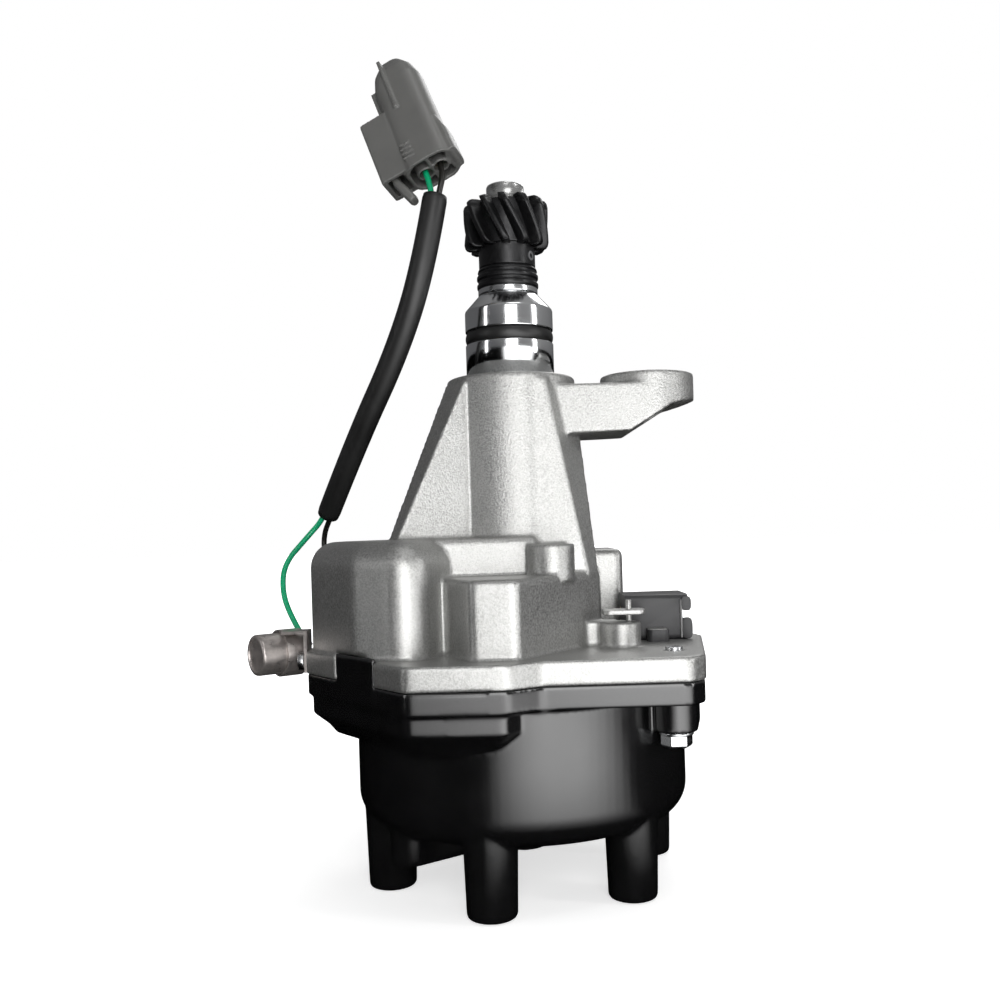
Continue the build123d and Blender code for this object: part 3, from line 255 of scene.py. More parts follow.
# Finishes
class NodeTree:
    """Short names for the shader nodes that the finishes, the floor and the studio use."""

    def __init__(self, tree):
        self.tree = tree

    def node(self, kind):
        return self.tree.nodes.new("ShaderNode" + kind)

    def link(self, source, target):
        self.tree.links.new(source, target)

    def put(self, value, target):
        """Gives a socket a value, or the output of another node."""
        if isinstance(value, bpy.types.NodeSocket):
            self.link(value, target)
        elif hasattr(value, "__len__") and len(target.default_value) > len(value):
            target.default_value = (*value, 1)
        else:
            target.default_value = value

    def ramp(self, source, low, high, start=0.0, end=1.0):
        """A source from start to end as a value, or a colour, between low and high."""
        if hasattr(low, "__len__"):
            node = self.node("ValToRGB")
            first, last = node.color_ramp.elements
            first.position, last.position = start, end
            first.color, last.color = (*low, 1), (*high, 1)
            self.link(source, node.inputs["Fac"])
            return node.outputs["Color"]
        node = self.node("MapRange")
        for socket, value in (("From Min", start), ("From Max", end), ("To Min", low), ("To Max", high)):
            node.inputs[socket].default_value = value
        self.link(source, node.inputs["Value"])
        return node.outputs["Result"]

    def mixed(self, share, a, b):
        node = self.node("Mix")
        node.data_type = "RGBA"
        for value, socket in zip((share, a, b), (node.inputs[0], node.inputs[6], node.inputs[7])):
            self.put(value, socket)
        return node.outputs[2]

    def product(self, a, b):
        node = self.node("Math")
        node.operation = "MULTIPLY"
        self.put(a, node.inputs[0])
        self.put(b, node.inputs[1])
        return node.outputs[0]

    def vector(self, operation, a, b=None):
        """The node of a vector operation on one or two vectors."""
        node = self.node("VectorMath")
        node.operation = operation
        self.put(a, node.inputs[0])
        if b is not None:
            self.put(b, node.inputs[1])
        return node

    def glow(self, strength):
        """White light of its own."""
        node = self.node("Emission")
        self.put(strength, node.inputs["Strength"])
        return node.outputs[0]

    def blended(self, share, a, b):
        """Two shaders, by share."""
        node = self.node("MixShader")
        for value, socket in zip((share, a, b), node.inputs):
            self.link(value, socket)
        return node.outputs[0]


class Finish(NodeTree):
    """A material whose patterns lie on object coordinates."""

    def __init__(self, name, color, metallic=0.0, roughness=0.5, **sockets):
        self.material = bpy.data.materials.new(name)
        self.material.use_nodes = True
        super().__init__(self.material.node_tree)
        self.shader = self.tree.nodes["Principled BSDF"]
        self.shader.inputs["Base Color"].default_value = (*color, 1)
        self.shader.inputs["Metallic"].default_value = metallic
        self.shader.inputs["Roughness"].default_value = roughness
        for socket, value in sockets.items():
            self.shader.inputs[socket.replace("_", " ")].default_value = value
        self.place = self.node("TexCoord").outputs["Object"]
        self.normal = None

    def stretched(self, scale):
        """Object coordinates, scaled by axis."""
        node = self.node("Mapping")
        node.inputs["Scale"].default_value = scale
        self.link(self.place, node.inputs["Vector"])
        return node.outputs["Vector"]

    def noise(self, scale, detail=2.0, rough=0.5, where=None):
        node = self.node("TexNoise")
        node.inputs["Scale"].default_value = scale
        node.inputs["Detail"].default_value = detail
        node.inputs["Roughness"].default_value = rough
        self.link(where or self.place, node.inputs["Vector"])
        return node.outputs["Fac"]

    def color(self, source):
        self.link(source, self.shader.inputs["Base Color"])

    def rough(self, source):
        self.link(source, self.shader.inputs["Roughness"])

    def bump(self, height, distance, strength=1.0):
        """Raises the surface by a height from 0 to 1 times a distance in millimetres."""
        node = self.node("Bump")
        node.inputs["Distance"].default_value = distance * mm
        node.inputs["Strength"].default_value = strength
        self.link(height, node.inputs["Height"])
        if self.normal is not None:
            self.link(self.normal, node.inputs["Normal"])
        self.normal = node.outputs["Normal"]
        self.link(self.normal, self.shader.inputs["Normal"])


def cast_metal(name, dark, light, grain, smooth_below, rough_above):
    """Sand cast aluminium with soft clouds. Its grain fades out between two heights in millimetres."""
    finish = Finish(name, light, metallic=0.85, roughness=0.5)
    clouds = finish.noise(60, 4, 0.6)
    sand = finish.noise(1700, 3, 0.65)
    blend = finish.mixed(finish.ramp(sand, 0.0, 1.0, 0.36, 0.62), dark, light)
    finish.color(finish.mixed(finish.ramp(clouds, 0.0, 0.35, 0.4, 0.7), blend, light))
    finish.rough(finish.ramp(sand, 0.33, 0.52, 0.3, 0.7))
    up = finish.node("SeparateXYZ")
    finish.link(finish.place, up.inputs[0])
    upper = finish.ramp(up.outputs["Z"], 0.25, 1.0, smooth_below * mm, rough_above * mm)
    finish.bump(finish.product(sand, upper), grain, 0.9)
    finish.bump(finish.noise(260, 2), grain * 0.6, 0.5)
    return finish.material


def turned_metal(name, color, roughness, line_scale, depth, metallic=1.0):
    """Metal turned on a lathe about Z, with fine lines round it."""
    finish = Finish(name, color, metallic=metallic, roughness=roughness)
    lines = finish.noise(1.0, 2, 0.6, finish.stretched((40, 40, line_scale)))
    finish.rough(finish.ramp(lines, roughness * 0.75, roughness * 1.35, 0.3, 0.7))
    finish.bump(lines, depth, 0.5)
    return finish.material


def moulded(name, color, roughness, dimple=0.02, shade=0.8, **sockets):
    """Moulded plastic or rubber with a faint orange peel and dull patches."""
    finish = Finish(name, color, roughness=roughness, **sockets)
    patches = finish.noise(90, 3, 0.6)
    finish.color(finish.ramp(patches, tuple(c * shade for c in color), color, 0.35, 0.65))
    finish.rough(finish.ramp(patches, roughness * 0.88, roughness * 1.14, 0.3, 0.7))
    finish.bump(finish.noise(900, 2), dimple, 0.5)
    return finish.material


def plated(name, color, roughness, metallic=1.0):
    """Plated steel with small marks."""
    finish = Finish(name, color, metallic=metallic, roughness=roughness)
    marks = finish.noise(420, 4, 0.65)
    finish.color(finish.ramp(marks, tuple(c * 0.78 for c in color), color, 0.38, 0.6))
    finish.rough(finish.ramp(marks, roughness * 0.8, roughness * 1.4, 0.35, 0.7))
    finish.bump(marks, 0.012, 0.5)
    return finish.material


cast_aluminium = cast_metal("cast_aluminium", (0.30, 0.30, 0.29), (0.50, 0.50, 0.49), 0.2, -62.0, -48.0)
turned_aluminium = turned_metal("turned_aluminium", (0.78, 0.79, 0.80), 0.13, 9000, 0.012)
ground_steel = turned_metal("ground_steel", (0.62, 0.62, 0.61), 0.24, 14000, 0.02)
bright_steel = turned_metal("bright_steel", (0.72, 0.73, 0.74), 0.2, 5000, 0.012)
black_steel = plated("black_steel", (0.012, 0.012, 0.013), 0.36, 0.4)
zinc = plated("zinc", (0.62, 0.63, 0.64), 0.27)
nickel = plated("nickel", (0.50, 0.46, 0.44), 0.34, 0.75)
brass = plated("brass", (0.72, 0.52, 0.22), 0.3)
bronze = plated("bronze", (0.5, 0.34, 0.18), 0.42)
core_steel = plated("core_steel", (0.2, 0.2, 0.22), 0.45)
cap_black = moulded("cap_black", (0.006, 0.006, 0.0064), 0.2, 0.012, Specular_IOR_Level=0.85)
inner_black = moulded("inner_black", (0.014, 0.014, 0.014), 0.5, 0.02)
rubber = moulded("rubber", (0.010, 0.010, 0.010), 0.42, 0.02)
carbon = moulded("carbon", (0.02, 0.02, 0.02), 0.7, 0.05)
shroud_grey = moulded("shroud_grey", (0.036, 0.036, 0.038), 0.45, 0.02)
# Pale grey for the connector's mouth rim: partly chipped plastic, partly painted highlight along its edge
chipping_and_highlight_grey = moulded("chipping_and_highlight_grey", (0.3, 0.3, 0.3), 0.4, 0.02)
plug_grey = moulded("plug_grey", (0.14, 0.14, 0.134), 0.42, 0.03, 0.9)
sleeve_black = moulded("sleeve_black", (0.012, 0.012, 0.012), 0.5, 0.05, 0.7)
green_vinyl = moulded("green_vinyl", (0.005, 0.46, 0.2), 0.3, 0.01, 0.85)
black_vinyl = moulded("black_vinyl", (0.012, 0.011, 0.009), 0.3, 0.01)

node_finishes = {
    "housing": cast_aluminium,
    "nose_o_ring": rubber,
    "nose_bushing": bronze,
    "oil_seal": rubber,
    "bearing_outer_ring": bright_steel,
    "bearing_balls": bright_steel,
    "bearing_inner_ring": bright_steel,
    "bearing_retainer": zinc,
    "retainer_screws": zinc,
    "distributor_cap": cap_black,
    "cap_gasket": rubber,
    "cap_screws": zinc,
    "tower_terminals": brass,
    "high_tension_strip": brass,
    "carbon_brush": carbon,
    "brush_spring": bright_steel,
    "sensor_plate": zinc,
    "plate_screws": zinc,
    "sensor_pickup": inner_black,
    "dust_cover": inner_black,
    "cover_screws": zinc,
    "coil_core": core_steel,
    "ignition_coil": inner_black,
    "coil_screws": zinc,
    "igniter_module": inner_black,
    "connector_shell": shroud_grey,
    "connector_pins": brass,
    "connector_clip": zinc,
    "condenser_can": nickel,
    "condenser_bracket": nickel,
    "condenser_screw": zinc,
    "condenser_boot": rubber,
    "wire_sleeve": sleeve_black,
    "green_wire": green_vinyl,
    "green_wire_end": green_vinyl,
    "black_wire": black_vinyl,
    "black_wire_end": black_vinyl,
    "wire_grommet": rubber,
    "plug_housing": plug_grey,
    "plug_lock": plug_grey,
    "plug_terminals": brass,
    "drive_shaft": ground_steel,
    "drive_gear": black_steel,
    "gear_pin": zinc,
    "thrust_collar": black_steel,
    "thrust_washer": bright_steel,
    "disc_hub": turned_aluminium,
    "signal_disc": zinc,
    "disc_spacer": turned_aluminium,
    "rotor_arm": inner_black,
    "rotor_contact": brass,
    "rotor_screw": zinc,
}
for node, material in node_finishes.items():
    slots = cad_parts[node].data.materials
    slots.clear()
    slots.append(material)


def dress(piece, material, body, slot, *nodes):
    """Gives a finished piece its material and its body, and hides the CAD nodes that it stands for; its slot
    is not used.
    """
    piece.data.materials.clear()
    piece.data.materials.append(material)
    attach(piece, body)
    if nodes:
        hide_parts(*nodes)
    return piece


# Geometry Nodes
def tree_with(name, inputs):
    """A node tree with named inputs and one geometry output."""
    tree = bpy.data.node_groups.new(name, "GeometryNodeTree")
    for label, kind in inputs:
        tree.interface.new_socket(label, in_out="INPUT", socket_type=kind)
    tree.interface.new_socket("Geometry", in_out="OUTPUT", socket_type="NodeSocketGeometry")
    return tree, tree.nodes.new("NodeGroupInput"), tree.nodes.new("NodeGroupOutput")


def ring_tree():
    """Copies of a part, evenly round the Z axis, each turned to face outwards."""
    tree, given, out = tree_with(
        "parts_in_a_ring",
        [
            ("Part", "NodeSocketObject"),
            ("Count", "NodeSocketInt"),
            ("First Angle", "NodeSocketFloat"),
            ("Finish", "NodeSocketMaterial"),
        ],
    )
    kinds = ("MeshLine", "ObjectInfo", "InstanceOnPoints", "InputIndex", "RealizeInstances", "SetMaterial")
    node = {kind: tree.nodes.new("GeometryNode" + kind) for kind in kinds}
    divide, times, plus = (tree.nodes.new("ShaderNodeMath") for _ in range(3))
    divide.operation, times.operation, plus.operation = "DIVIDE", "MULTIPLY", "ADD"
    turn = tree.nodes.new("ShaderNodeCombineXYZ")
    divide.inputs[0].default_value = 2 * pi
    node["MeshLine"].inputs["Offset"].default_value = (0, 0, 0)
    for source, target in (
        (given.outputs["Count"], node["MeshLine"].inputs["Count"]),
        (given.outputs["Count"], divide.inputs[1]),
        (divide.outputs[0], times.inputs[0]),
        (node["InputIndex"].outputs[0], times.inputs[1]),
        (times.outputs[0], plus.inputs[0]),
        (given.outputs["First Angle"], plus.inputs[1]),
        (plus.outputs[0], turn.inputs["Z"]),
        (given.outputs["Part"], node["ObjectInfo"].inputs["Object"]),
        (node["MeshLine"].outputs[0], node["InstanceOnPoints"].inputs["Points"]),
        (node["ObjectInfo"].outputs["Geometry"], node["InstanceOnPoints"].inputs["Instance"]),
        (turn.outputs[0], node["InstanceOnPoints"].inputs["Rotation"]),
        (node["InstanceOnPoints"].outputs[0], node["RealizeInstances"].inputs[0]),
        (node["RealizeInstances"].outputs[0], node["SetMaterial"].inputs["Geometry"]),
        (given.outputs["Finish"], node["SetMaterial"].inputs["Material"]),
        (node["SetMaterial"].outputs[0], out.inputs[0]),
    ):
        tree.links.new(source, target)
    return tree


def places_tree():
    """Copies of a part on the vertices of the piece, all standing the same way."""
    tree, given, out = tree_with(
        "parts_at_places",
        [
            ("Places", "NodeSocketGeometry"),
            ("Part", "NodeSocketObject"),
            ("Finish", "NodeSocketMaterial"),
        ],
    )
    kinds = ("ObjectInfo", "InstanceOnPoints", "RealizeInstances", "SetMaterial")
    node = {kind: tree.nodes.new("GeometryNode" + kind) for kind in kinds}
    for source, target in (
        (given.outputs["Places"], node["InstanceOnPoints"].inputs["Points"]),
        (given.outputs["Part"], node["ObjectInfo"].inputs["Object"]),
        (node["ObjectInfo"].outputs["Geometry"], node["InstanceOnPoints"].inputs["Instance"]),
        (node["InstanceOnPoints"].outputs[0], node["RealizeInstances"].inputs[0]),
        (node["RealizeInstances"].outputs[0], node["SetMaterial"].inputs["Geometry"]),
        (given.outputs["Finish"], node["SetMaterial"].inputs["Material"]),
        (node["SetMaterial"].outputs[0], out.inputs[0]),
    ):
        tree.links.new(source, target)
    return tree


ring_nodes = ring_tree()
places_nodes = places_tree()


def grown(name, mesh, tree, values):
    """A plain mesh piece from a node tree and the values of its named inputs."""
    piece = new_piece(name, mesh, smooth=False)
    modifier = piece.modifiers.new("parts", "NODES")
    modifier.node_group = tree
    sockets = {item.name: item.identifier for item in tree.interface.items_tree if item.in_out == "INPUT"}
    for label, value in values.items():
        modifier[sockets[label]] = value
    return settle(piece)


def in_a_ring(name, part, count, first_angle, material):
    """A part repeated round the shaft's axis."""
    piece = grown(
        name,
        bpy.data.meshes.new(name),
        ring_nodes,
        {"Part": part, "Count": count, "First Angle": radians(first_angle), "Finish": material},
    )
    bpy.data.objects.remove(part)
    return piece


def at_places(name, part, places, material):
    """A part repeated at places in millimetres."""
    points = bpy.data.meshes.new(name)
    points.from_pydata(thousandth(places), [], [])
    piece = grown(name, points, places_nodes, {"Part": part, "Finish": material})
    bpy.data.objects.remove(part)
    return piece


# Lead: the sleeve and its two wires, on the same points as the CAD routes
sleeve_route = [
    (-63.7, 22.0, -40.8),
    (-50.4, 4.0, -17.4),
    (-34.6, -11.0, 8.7),
    (-25.1, -19.0, 32.6),
    (-21.2, -17.0, 54.0),
]
black_route = [
    (-58.6, 21.1, -62.0),
    (-62.7, 24.0, -61.0),
    (-66.2, 27.0, -56.5),
    (-66.6, 27.4, -47.8),
    (-62.5, 23.1, -41.0),
]
green_route = [
    (-70.9, 5.0, -79.0),
    (-74.2, 6.4, -73.6),
    (-77.2, 9.0, -66.0),
    (-77.6, 14.5, -57.0),
    (-71.4, 22.8, -48.4),
    (-65.4, 21.3, -41.2),
]
plug_mouth = Vector((-21.4, -15.5, 62.4))
plug_way = Vector((-0.318, 0.3185, 0.893)).normalized()
plug_across = Vector((1.0, -0.35, 0.0))
plug_across = (plug_across - plug_way * plug_across.dot(plug_way)).normalized()
cell_pitch = 5.2
cell_run = (-2.5, 3.5)
wire_d = 1.8
wire_apart = 1.24 * wire_d
sleeve_d = 7.6
sleeve_wall = 0.8
green_to_sleeve = (-64.6, 21.8, -41.4)
black_to_sleeve = (-63.0, 23.0, -41.4)


def spline(name, route, width=0.0):
    """A smooth lead along a route in millimetres."""
    curve = bpy.data.curves.new(name, "CURVE")
    curve.dimensions = "3D"
    curve.resolution_u = 24
    curve.use_fill_caps = width > 0
    curve.bevel_depth = width / 2 * mm
    curve.bevel_resolution = 6
    line = curve.splines.new("NURBS")
    line.points.add(len(route) - 1)
    for point, place in zip(line.points, route):
        point.co = (*(Vector(place) * mm), 1)
    line.order_u = 3
    line.use_endpoint_u = True
    piece = bpy.data.objects.new(name, curve)
    scene.collection.objects.link(piece)
    return piece


def spline_points(route):
    """Points along the smooth line of a route, in metres."""
    bare = spline("line", route)
    bpy.context.view_layer.update()
    mesh = bpy.data.meshes.new_from_object(bare.evaluated_get(bpy.context.evaluated_depsgraph_get()))
    points = [vertex.co.copy() for vertex in mesh.vertices]
    bpy.data.objects.remove(bare)
    bpy.data.meshes.remove(mesh)
    return points


def hose_mesh(points, outer, inner, count=48):
    """A tube with a wall along points in metres, open at both ends and rounded at its lips."""
    mesh = bmesh.new()
    rows = []
    side = Vector((1, 0, 0))
    lip = (outer - inner) * 0.25
    for i, point in enumerate(points):
        way = (points[min(i + 1, len(points) - 1)] - points[max(i - 1, 0)]).normalized()
        side = (side - way * side.dot(way)).normalized()
        up = way.cross(side)
        at_end = i in (0, len(points) - 1)
        radii = (outer - lip if at_end else outer, inner + lip if at_end else inner)
        angles = [2 * pi * k / count for k in range(count)]
        rays = [side * cos(angle) + up * sin(angle) for angle in angles]
        rows.append([[mesh.verts.new(point + ray * r * mm) for ray in rays] for r in radii])
    for here, after in zip(rows, rows[1:]):
        for k in range(count):
            n = (k + 1) % count
            mesh.faces.new((here[0][k], here[0][n], after[0][n], after[0][k]))
            mesh.faces.new((here[1][n], here[1][k], after[1][k], after[1][n]))
    for k in range(count):
        n = (k + 1) % count
        mesh.faces.new((rows[0][0][n], rows[0][0][k], rows[0][1][k], rows[0][1][n]))
        mesh.faces.new((rows[-1][0][k], rows[-1][0][n], rows[-1][1][n], rows[-1][1][k]))
    bmesh.ops.recalc_face_normals(mesh, faces=mesh.faces)
    return mesh


def in_plug(x, y, z):
    """A point given by its place across, behind and along the plug."""
    return plug_mouth + plug_across * x + plug_way.cross(plug_across) * y + plug_way * z


def through_sleeve(side):
    """A wire's points inside the sleeve and out of its end into its cell in the plug."""
    shift = plug_across * side * wire_apart / 2
    inside = [Vector(point) + shift for point in sleeve_route[1:]]
    in_cell = [in_plug(side * cell_pitch / 2, 0, z) for z in cell_run]
    return [tuple(point) for point in (*inside, *in_cell)]


sleeve_line = spline_points(sleeve_route)
wire_sleeve = new_piece("wire_sleeve_tube", hose_mesh(sleeve_line, sleeve_d / 2, sleeve_d / 2 - sleeve_wall))
green_whole = green_route[:-1] + [green_to_sleeve] + through_sleeve(-1)
black_whole = black_route[:-1] + [black_to_sleeve] + through_sleeve(1)
green_line = spline("green_lead", green_whole, wire_d)
black_line = spline("black_lead", black_whole, wire_d)
dress(wire_sleeve, sleeve_black, "distributor", "sleeve_vinyl", "wire_sleeve")
dress(green_line, green_vinyl, "distributor", "green_vinyl", "green_wire", "green_wire_end")
dress(black_line, black_vinyl, "distributor", "black_vinyl", "black_wire", "black_wire_end")

# Castings and mouldings, the housing's upper chamber corner filled out to its full round
corner_centre = Vector((-32.3, -35.4, -58.0)) * mm
corner_r = 7.8 * mm
nose_foot = -0.02
corner_fill = bmesh.new()
bmesh.ops.create_uvsphere(
    corner_fill, u_segments=32, v_segments=16, radius=corner_r, matrix=Matrix.Translation(corner_centre)
)
housing_casting = cast_copy("housing", "housing_casting", 0.66, 5, [corner_fill], cut_above=nose_foot)
dress(housing_casting, cast_aluminium, "distributor", "cast_aluminium", "housing")
cap_moulding = cast_copy("distributor_cap", "cap_moulding", 0.6, 7)
dress(cap_moulding, cap_black, "distributor", "black_plastic", "distributor_cap")

# Turned nose with its groove, in one loop of (radius, height)
nose_r, nose_tip_r = 14.0, 9.5
bore_r = 9.02
nose_low, nose_shoulder, nose_high = -0.1, 21.6, 26.6
groove_low, groove_high, groove_r = 11.0, 15.2, 11.6
nose_piece = turned(
    "nose_turned",
    [
        (bore_r, nose_low),
        (nose_r, nose_low),
        (nose_r, groove_low),
        (groove_r, groove_low),
        (groove_r, groove_high),
        (nose_r, groove_high),
        (nose_r, nose_shoulder),
        (nose_tip_r, nose_high),
        (bore_r, nose_high),
    ],
    [0, 0, 0.3, 0.3, 0.3, 0.3, 0.5, 0.2, 0.1],
    steps=160,
)
dress(nose_piece, turned_aluminium, "distributor", "cast_aluminium")

# Shaft with its bare tip above the gear, in one loop of (radius, height)
gear_low, gear_high = 41.5, 56.5
gear_bore_r = 6.27
shaft_low, shaft_top = -118.9, 62.0
shaft_r, end_r, shoulder_r = 6.25, 6.0, 8.0
shoulder_low, shoulder_high = -64.0, -60.0
tip_low = gear_high + 0.3
centre_r, centre_depth = 1.6, 3.2
shaft_piece = turned(
    "shaft_turned",
    [
        (0.0, shaft_low),
        (end_r, shaft_low),
        (end_r, shoulder_low),
        (shoulder_r, shoulder_low),
        (shoulder_r, shoulder_high),
        (shaft_r, shoulder_high),
        (shaft_r, tip_low),
        (end_r, tip_low),
        (end_r, shaft_top),
        (centre_r, shaft_top),
        (centre_r - 0.1, shaft_top - 2.4),
        (0.0, shaft_top - centre_depth),
    ],
    [0, 0.3, 0, 0.3, 0.3, 0.3, 0, 0, 0.9, 0.3, 0.4, 0],
    steps=128,
)
dress(shaft_piece, ground_steel, "shaft_line", "ground_steel", "drive_shaft")

# Helical gear: one tooth in a ring round its core, from sections of (height, amount off the tip circle)
tooth_count = 12
root_r, tip_circle = 9.9, 13.5
face_width = gear_high - gear_low
gear_turn = -36.0
eased_end = [(0.0, 1.5), (0.35, 0.75), (1.0, 0.25), (2.0, 0.0)]
full_rows = [(up, 0.0) for up in range(3, 14)]  # its last row comes again with the eased end: a known fault
tooth_rows = eased_end + full_rows + [(face_width - up, cut) for up, cut in reversed(eased_end)]
tooth_side = [(8.6, 0.32), (10.1, 0.295), (11.0, 0.25), (11.9, 0.205), (12.9, 0.155), (13.35, 0.115)]
tooth_side += [(tip_circle, 0.07)]


def tooth_loop(up, cut):
    """One section of the tooth, its flanks as shares of the pitch at each radius."""
    most = tip_circle - cut
    pitch = (1 - cut * 0.12) * 360 / tooth_count
    flank = [(min(r, most), share * pitch) for r, share in tooth_side]
    turn = gear_turn * up / face_width
    both = [(r, turn - angle) for r, angle in flank] + [(r, turn + angle) for r, angle in reversed(flank)]
    return [(r * cos(radians(angle)), r * sin(radians(angle)), gear_low + up) for r, angle in both]


tooth = new_piece("tooth", lofted_mesh([tooth_loop(up, cut) for up, cut in tooth_rows]))
gear_teeth = in_a_ring("gear_teeth", tooth, tooth_count, 0.0, black_steel)
dress(gear_teeth, black_steel, "shaft_line", "gear_steel", "drive_gear")
hub_r, hub_low = 9.0, 35.3
core_low, core_high = gear_low + 0.5, gear_high - 0.6
gear_core = turned(
    "gear_core",
    [
        (gear_bore_r, hub_low),
        (hub_r, hub_low),
        (hub_r, core_low),
        (root_r, core_low),
        (root_r, core_high),
        (gear_bore_r, core_high),
    ],
    [0.1, 0.5, 0.4, 0.4, 0.8, 0.4],
)
dress(gear_core, black_steel, "shaft_line", "gear_steel")

# Ringed collar, with its first and second groove, and the washer below it
collar_low = 28.8
ring_r, top_ring_r, between_r, collar_top_r = 9.8, 9.6, 9.2, 9.1
first_low, first_high, second_low, second_high = 30.5, 31.6, 33.1, 34.2
washer_r, washer_low = 9.5, 26.8
collar = turned(
    "ringed_collar",
    [
        (gear_bore_r, collar_low),
        (ring_r, collar_low),
        (ring_r, first_low),
        (between_r, first_low),
        (between_r, first_high),
        (ring_r, first_high),
        (ring_r, second_low),
        (between_r, second_low),
        (between_r, second_high),
        (top_ring_r, second_high),
        (collar_top_r, hub_low),
        (gear_bore_r, hub_low),
    ],
    [0.1, 0.7, 0.5, 0.3, 0.3, 0.5, 0.5, 0.3, 0.3, 0.5, 0.5, 0.3],
)
dress(collar, black_steel, "shaft_line", "gear_steel", "thrust_collar")
washer_loop = [(gear_bore_r, washer_low), (washer_r, washer_low), (washer_r, collar_low)]
washer = turned("run_washer", [*washer_loop, (gear_bore_r, collar_low)], [0.1, 0.4, 0.4, 0.1])
dress(washer, bright_steel, "shaft_line", "ground_steel", "thrust_washer")

# Cap screws: one chamfered hexagon head with its washer and shank, at three places
head_low, head_high, shank_high = -111.2, -107.6, -82.6
washer_top = head_high + 0.9
head_washer_r, shank_r = 4.9, 2.5
across_flats = 8.0
hex_r = across_flats / 2 / cos(radians(30))
hexagon = [(hex_r * cos(radians(60 * k)), hex_r * sin(radians(60 * k))) for k in range(6)]
head_rows = [(0.82, head_low), (1.0, head_low + 0.7), (1.0, head_high)]
head = lofted_mesh([[(x * share, y * share, z) for x, y in hexagon] for share, z in head_rows])
shank_loop = [
    (0.0, head_high),
    (head_washer_r, head_high),
    (head_washer_r, washer_top),
    (shank_r, washer_top),
    (shank_r, shank_high),
    (0.0, shank_high),
]
shank = lathe_mesh(rounded_profile(shank_loop, [0, 0.3, 0.3, 0, 0.3, 0]), 48)
screw = softened(new_piece("screw", joined([head, shank])), 0.25)
screw_circle = 56.6
screw_angles = (-38.5, 58.0, 148.0)
screw_spots = [(screw_circle * cos(radians(a)), screw_circle * sin(radians(a)), 0) for a in screw_angles]
cap_hex_screws = at_places("cap_hex_screws", screw, screw_spots, zinc)
dress(cap_hex_screws, zinc, "distributor", "zinc_steel", "cap_screws")

# Signal connector: two rounded lips, a rim at its mouth in pale grey for chipped plastic and painted
# highlight along its edge, and the cast ear that holds it
lip_depths = (-9.9, -8.4)


def lip_mesh(low_x, high_x, low_z, high_z):
    """A rounded lip on the connector's front wall, seen from the front as a soft lobe."""
    middle_x, middle_z = (low_x + high_x) / 2, (low_z + high_z) / 2
    outline = super_loop((high_x - low_x) / 2, (high_z - low_z) / 2, 3.2, 32, centre=(middle_x, middle_z))
    return lofted_mesh([[(x, y, z) for x, z in outline] for y in lip_depths])


connector_lips = [lip_mesh(50.9, 53.9, -74.6, -70.2), lip_mesh(51.1, 54.2, -83.3, -76.8)]
connector_shroud = edged_copy("connector_shell", "connector_shroud", 0.35, connector_lips)
dress(connector_shroud, shroud_grey, "distributor", "dark_plastic", "connector_shell")
# The mouth rim's pale grey is partly chipped plastic and partly painted highlight along the edge
mouth_rim = softened(new_piece("mouth_rim", box_mesh((50.5, -9.75, -83.0), (51.2, -8.7, -71.2))), 0.3)
dress(mouth_rim, chipping_and_highlight_grey, "distributor", "dark_plastic")
ear_loop = super_loop(3.1, 2.6, 4, 32, centre=(42.9, -11.4))
ear = softened(new_piece("connector_ear", prism_mesh(ear_loop, -83.8, -79.6)), 0.5)
dress(ear, cast_aluminium, "distributor", "cast_aluminium")
clip_plate = edged_copy("connector_clip", "hold_down_clip", 0.35)
dress(clip_plate, cast_aluminium, "distributor", "zinc_steel", "connector_clip")

# Condenser can with a rolled lip round its end, along its own axis
can_angle = radians(-142.0)
can_way = (-cos(can_angle), -sin(can_angle), 0.0)
can_end = (-83.0, -6.0, -85.0)
can_r, can_length = 6.5, 15.0
dish_r, lip_r, lip_depth = 5.1, 5.3, 0.7
can_profile = [
    (0.0, lip_depth),
    (dish_r, lip_depth),
    (lip_r, 0.0),
    (can_r, 0.0),
    (can_r, can_length),
    (0.0, can_length),
]
can_mesh = lathe_mesh(rounded_profile(can_profile, [0, 0.3, 0.1, 1.05, 0.8, 0]), 96)
can = new_piece("condenser_body", placed(can_mesh, can_end, can_way, (0, 0, 1)))
dress(can, nickel, "distributor", "nickel_steel", "condenser_can")
strap = edged_copy("condenser_bracket", "condenser_strap", 0.22)
dress(strap, nickel, "distributor", "nickel_steel", "condenser_bracket")
strap_screw = edged_copy("condenser_screw", "strap_screw", 0.35)
dress(strap_screw, zinc, "distributor", "zinc_steel", "condenser_screw")

# Plug: the moulded body with its hood rib, lock bar, grips and flared side
def on_plug(mesh):
    """A bmesh made in the plug's own frame, moved onto the plug."""
    return placed(mesh, plug_mouth, plug_way, plug_across)


def flare_loop(z, half_x, centre_x):
    return [(x, y, z) for x, y in super_loop(half_x, 5.0, 4, centre=(centre_x, 0.0))]


hood_rib = box_mesh((-2.8, -7.2, 24.0), (-1.6, -2.0, 40.6))
rib_foot = box_mesh((-2.9, -7.5, 21.8), (-1.5, -5.6, 23.6))
lock_bar = box_mesh((-9.2, -2.0, 23.0), (-7.0, 2.0, 35.5))
flare = lofted_mesh([flare_loop(0.3, 2.0, 7.4), flare_loop(9.0, 1.9, 7.3), flare_loop(14.0, 1.0, 6.8)])
grip_count, first_grip, grip_pitch, grip_width = 4, 3.2, 1.6, 0.7
grip_heights = [first_grip + grip_pitch * k for k in range(grip_count)]
grips = [box_mesh((-6.2, -7.3, z), (-2.6, -6.4, z + grip_width)) for z in grip_heights]
plug_extras = [hood_rib, lock_bar, rib_foot, flare, *grips]
plug_body = cast_copy("plug_housing", "plug_body", 0.36, 4, [on_plug(mesh) for mesh in plug_extras])
dress(plug_body, plug_grey, "distributor", "grey_plastic", "plug_housing")

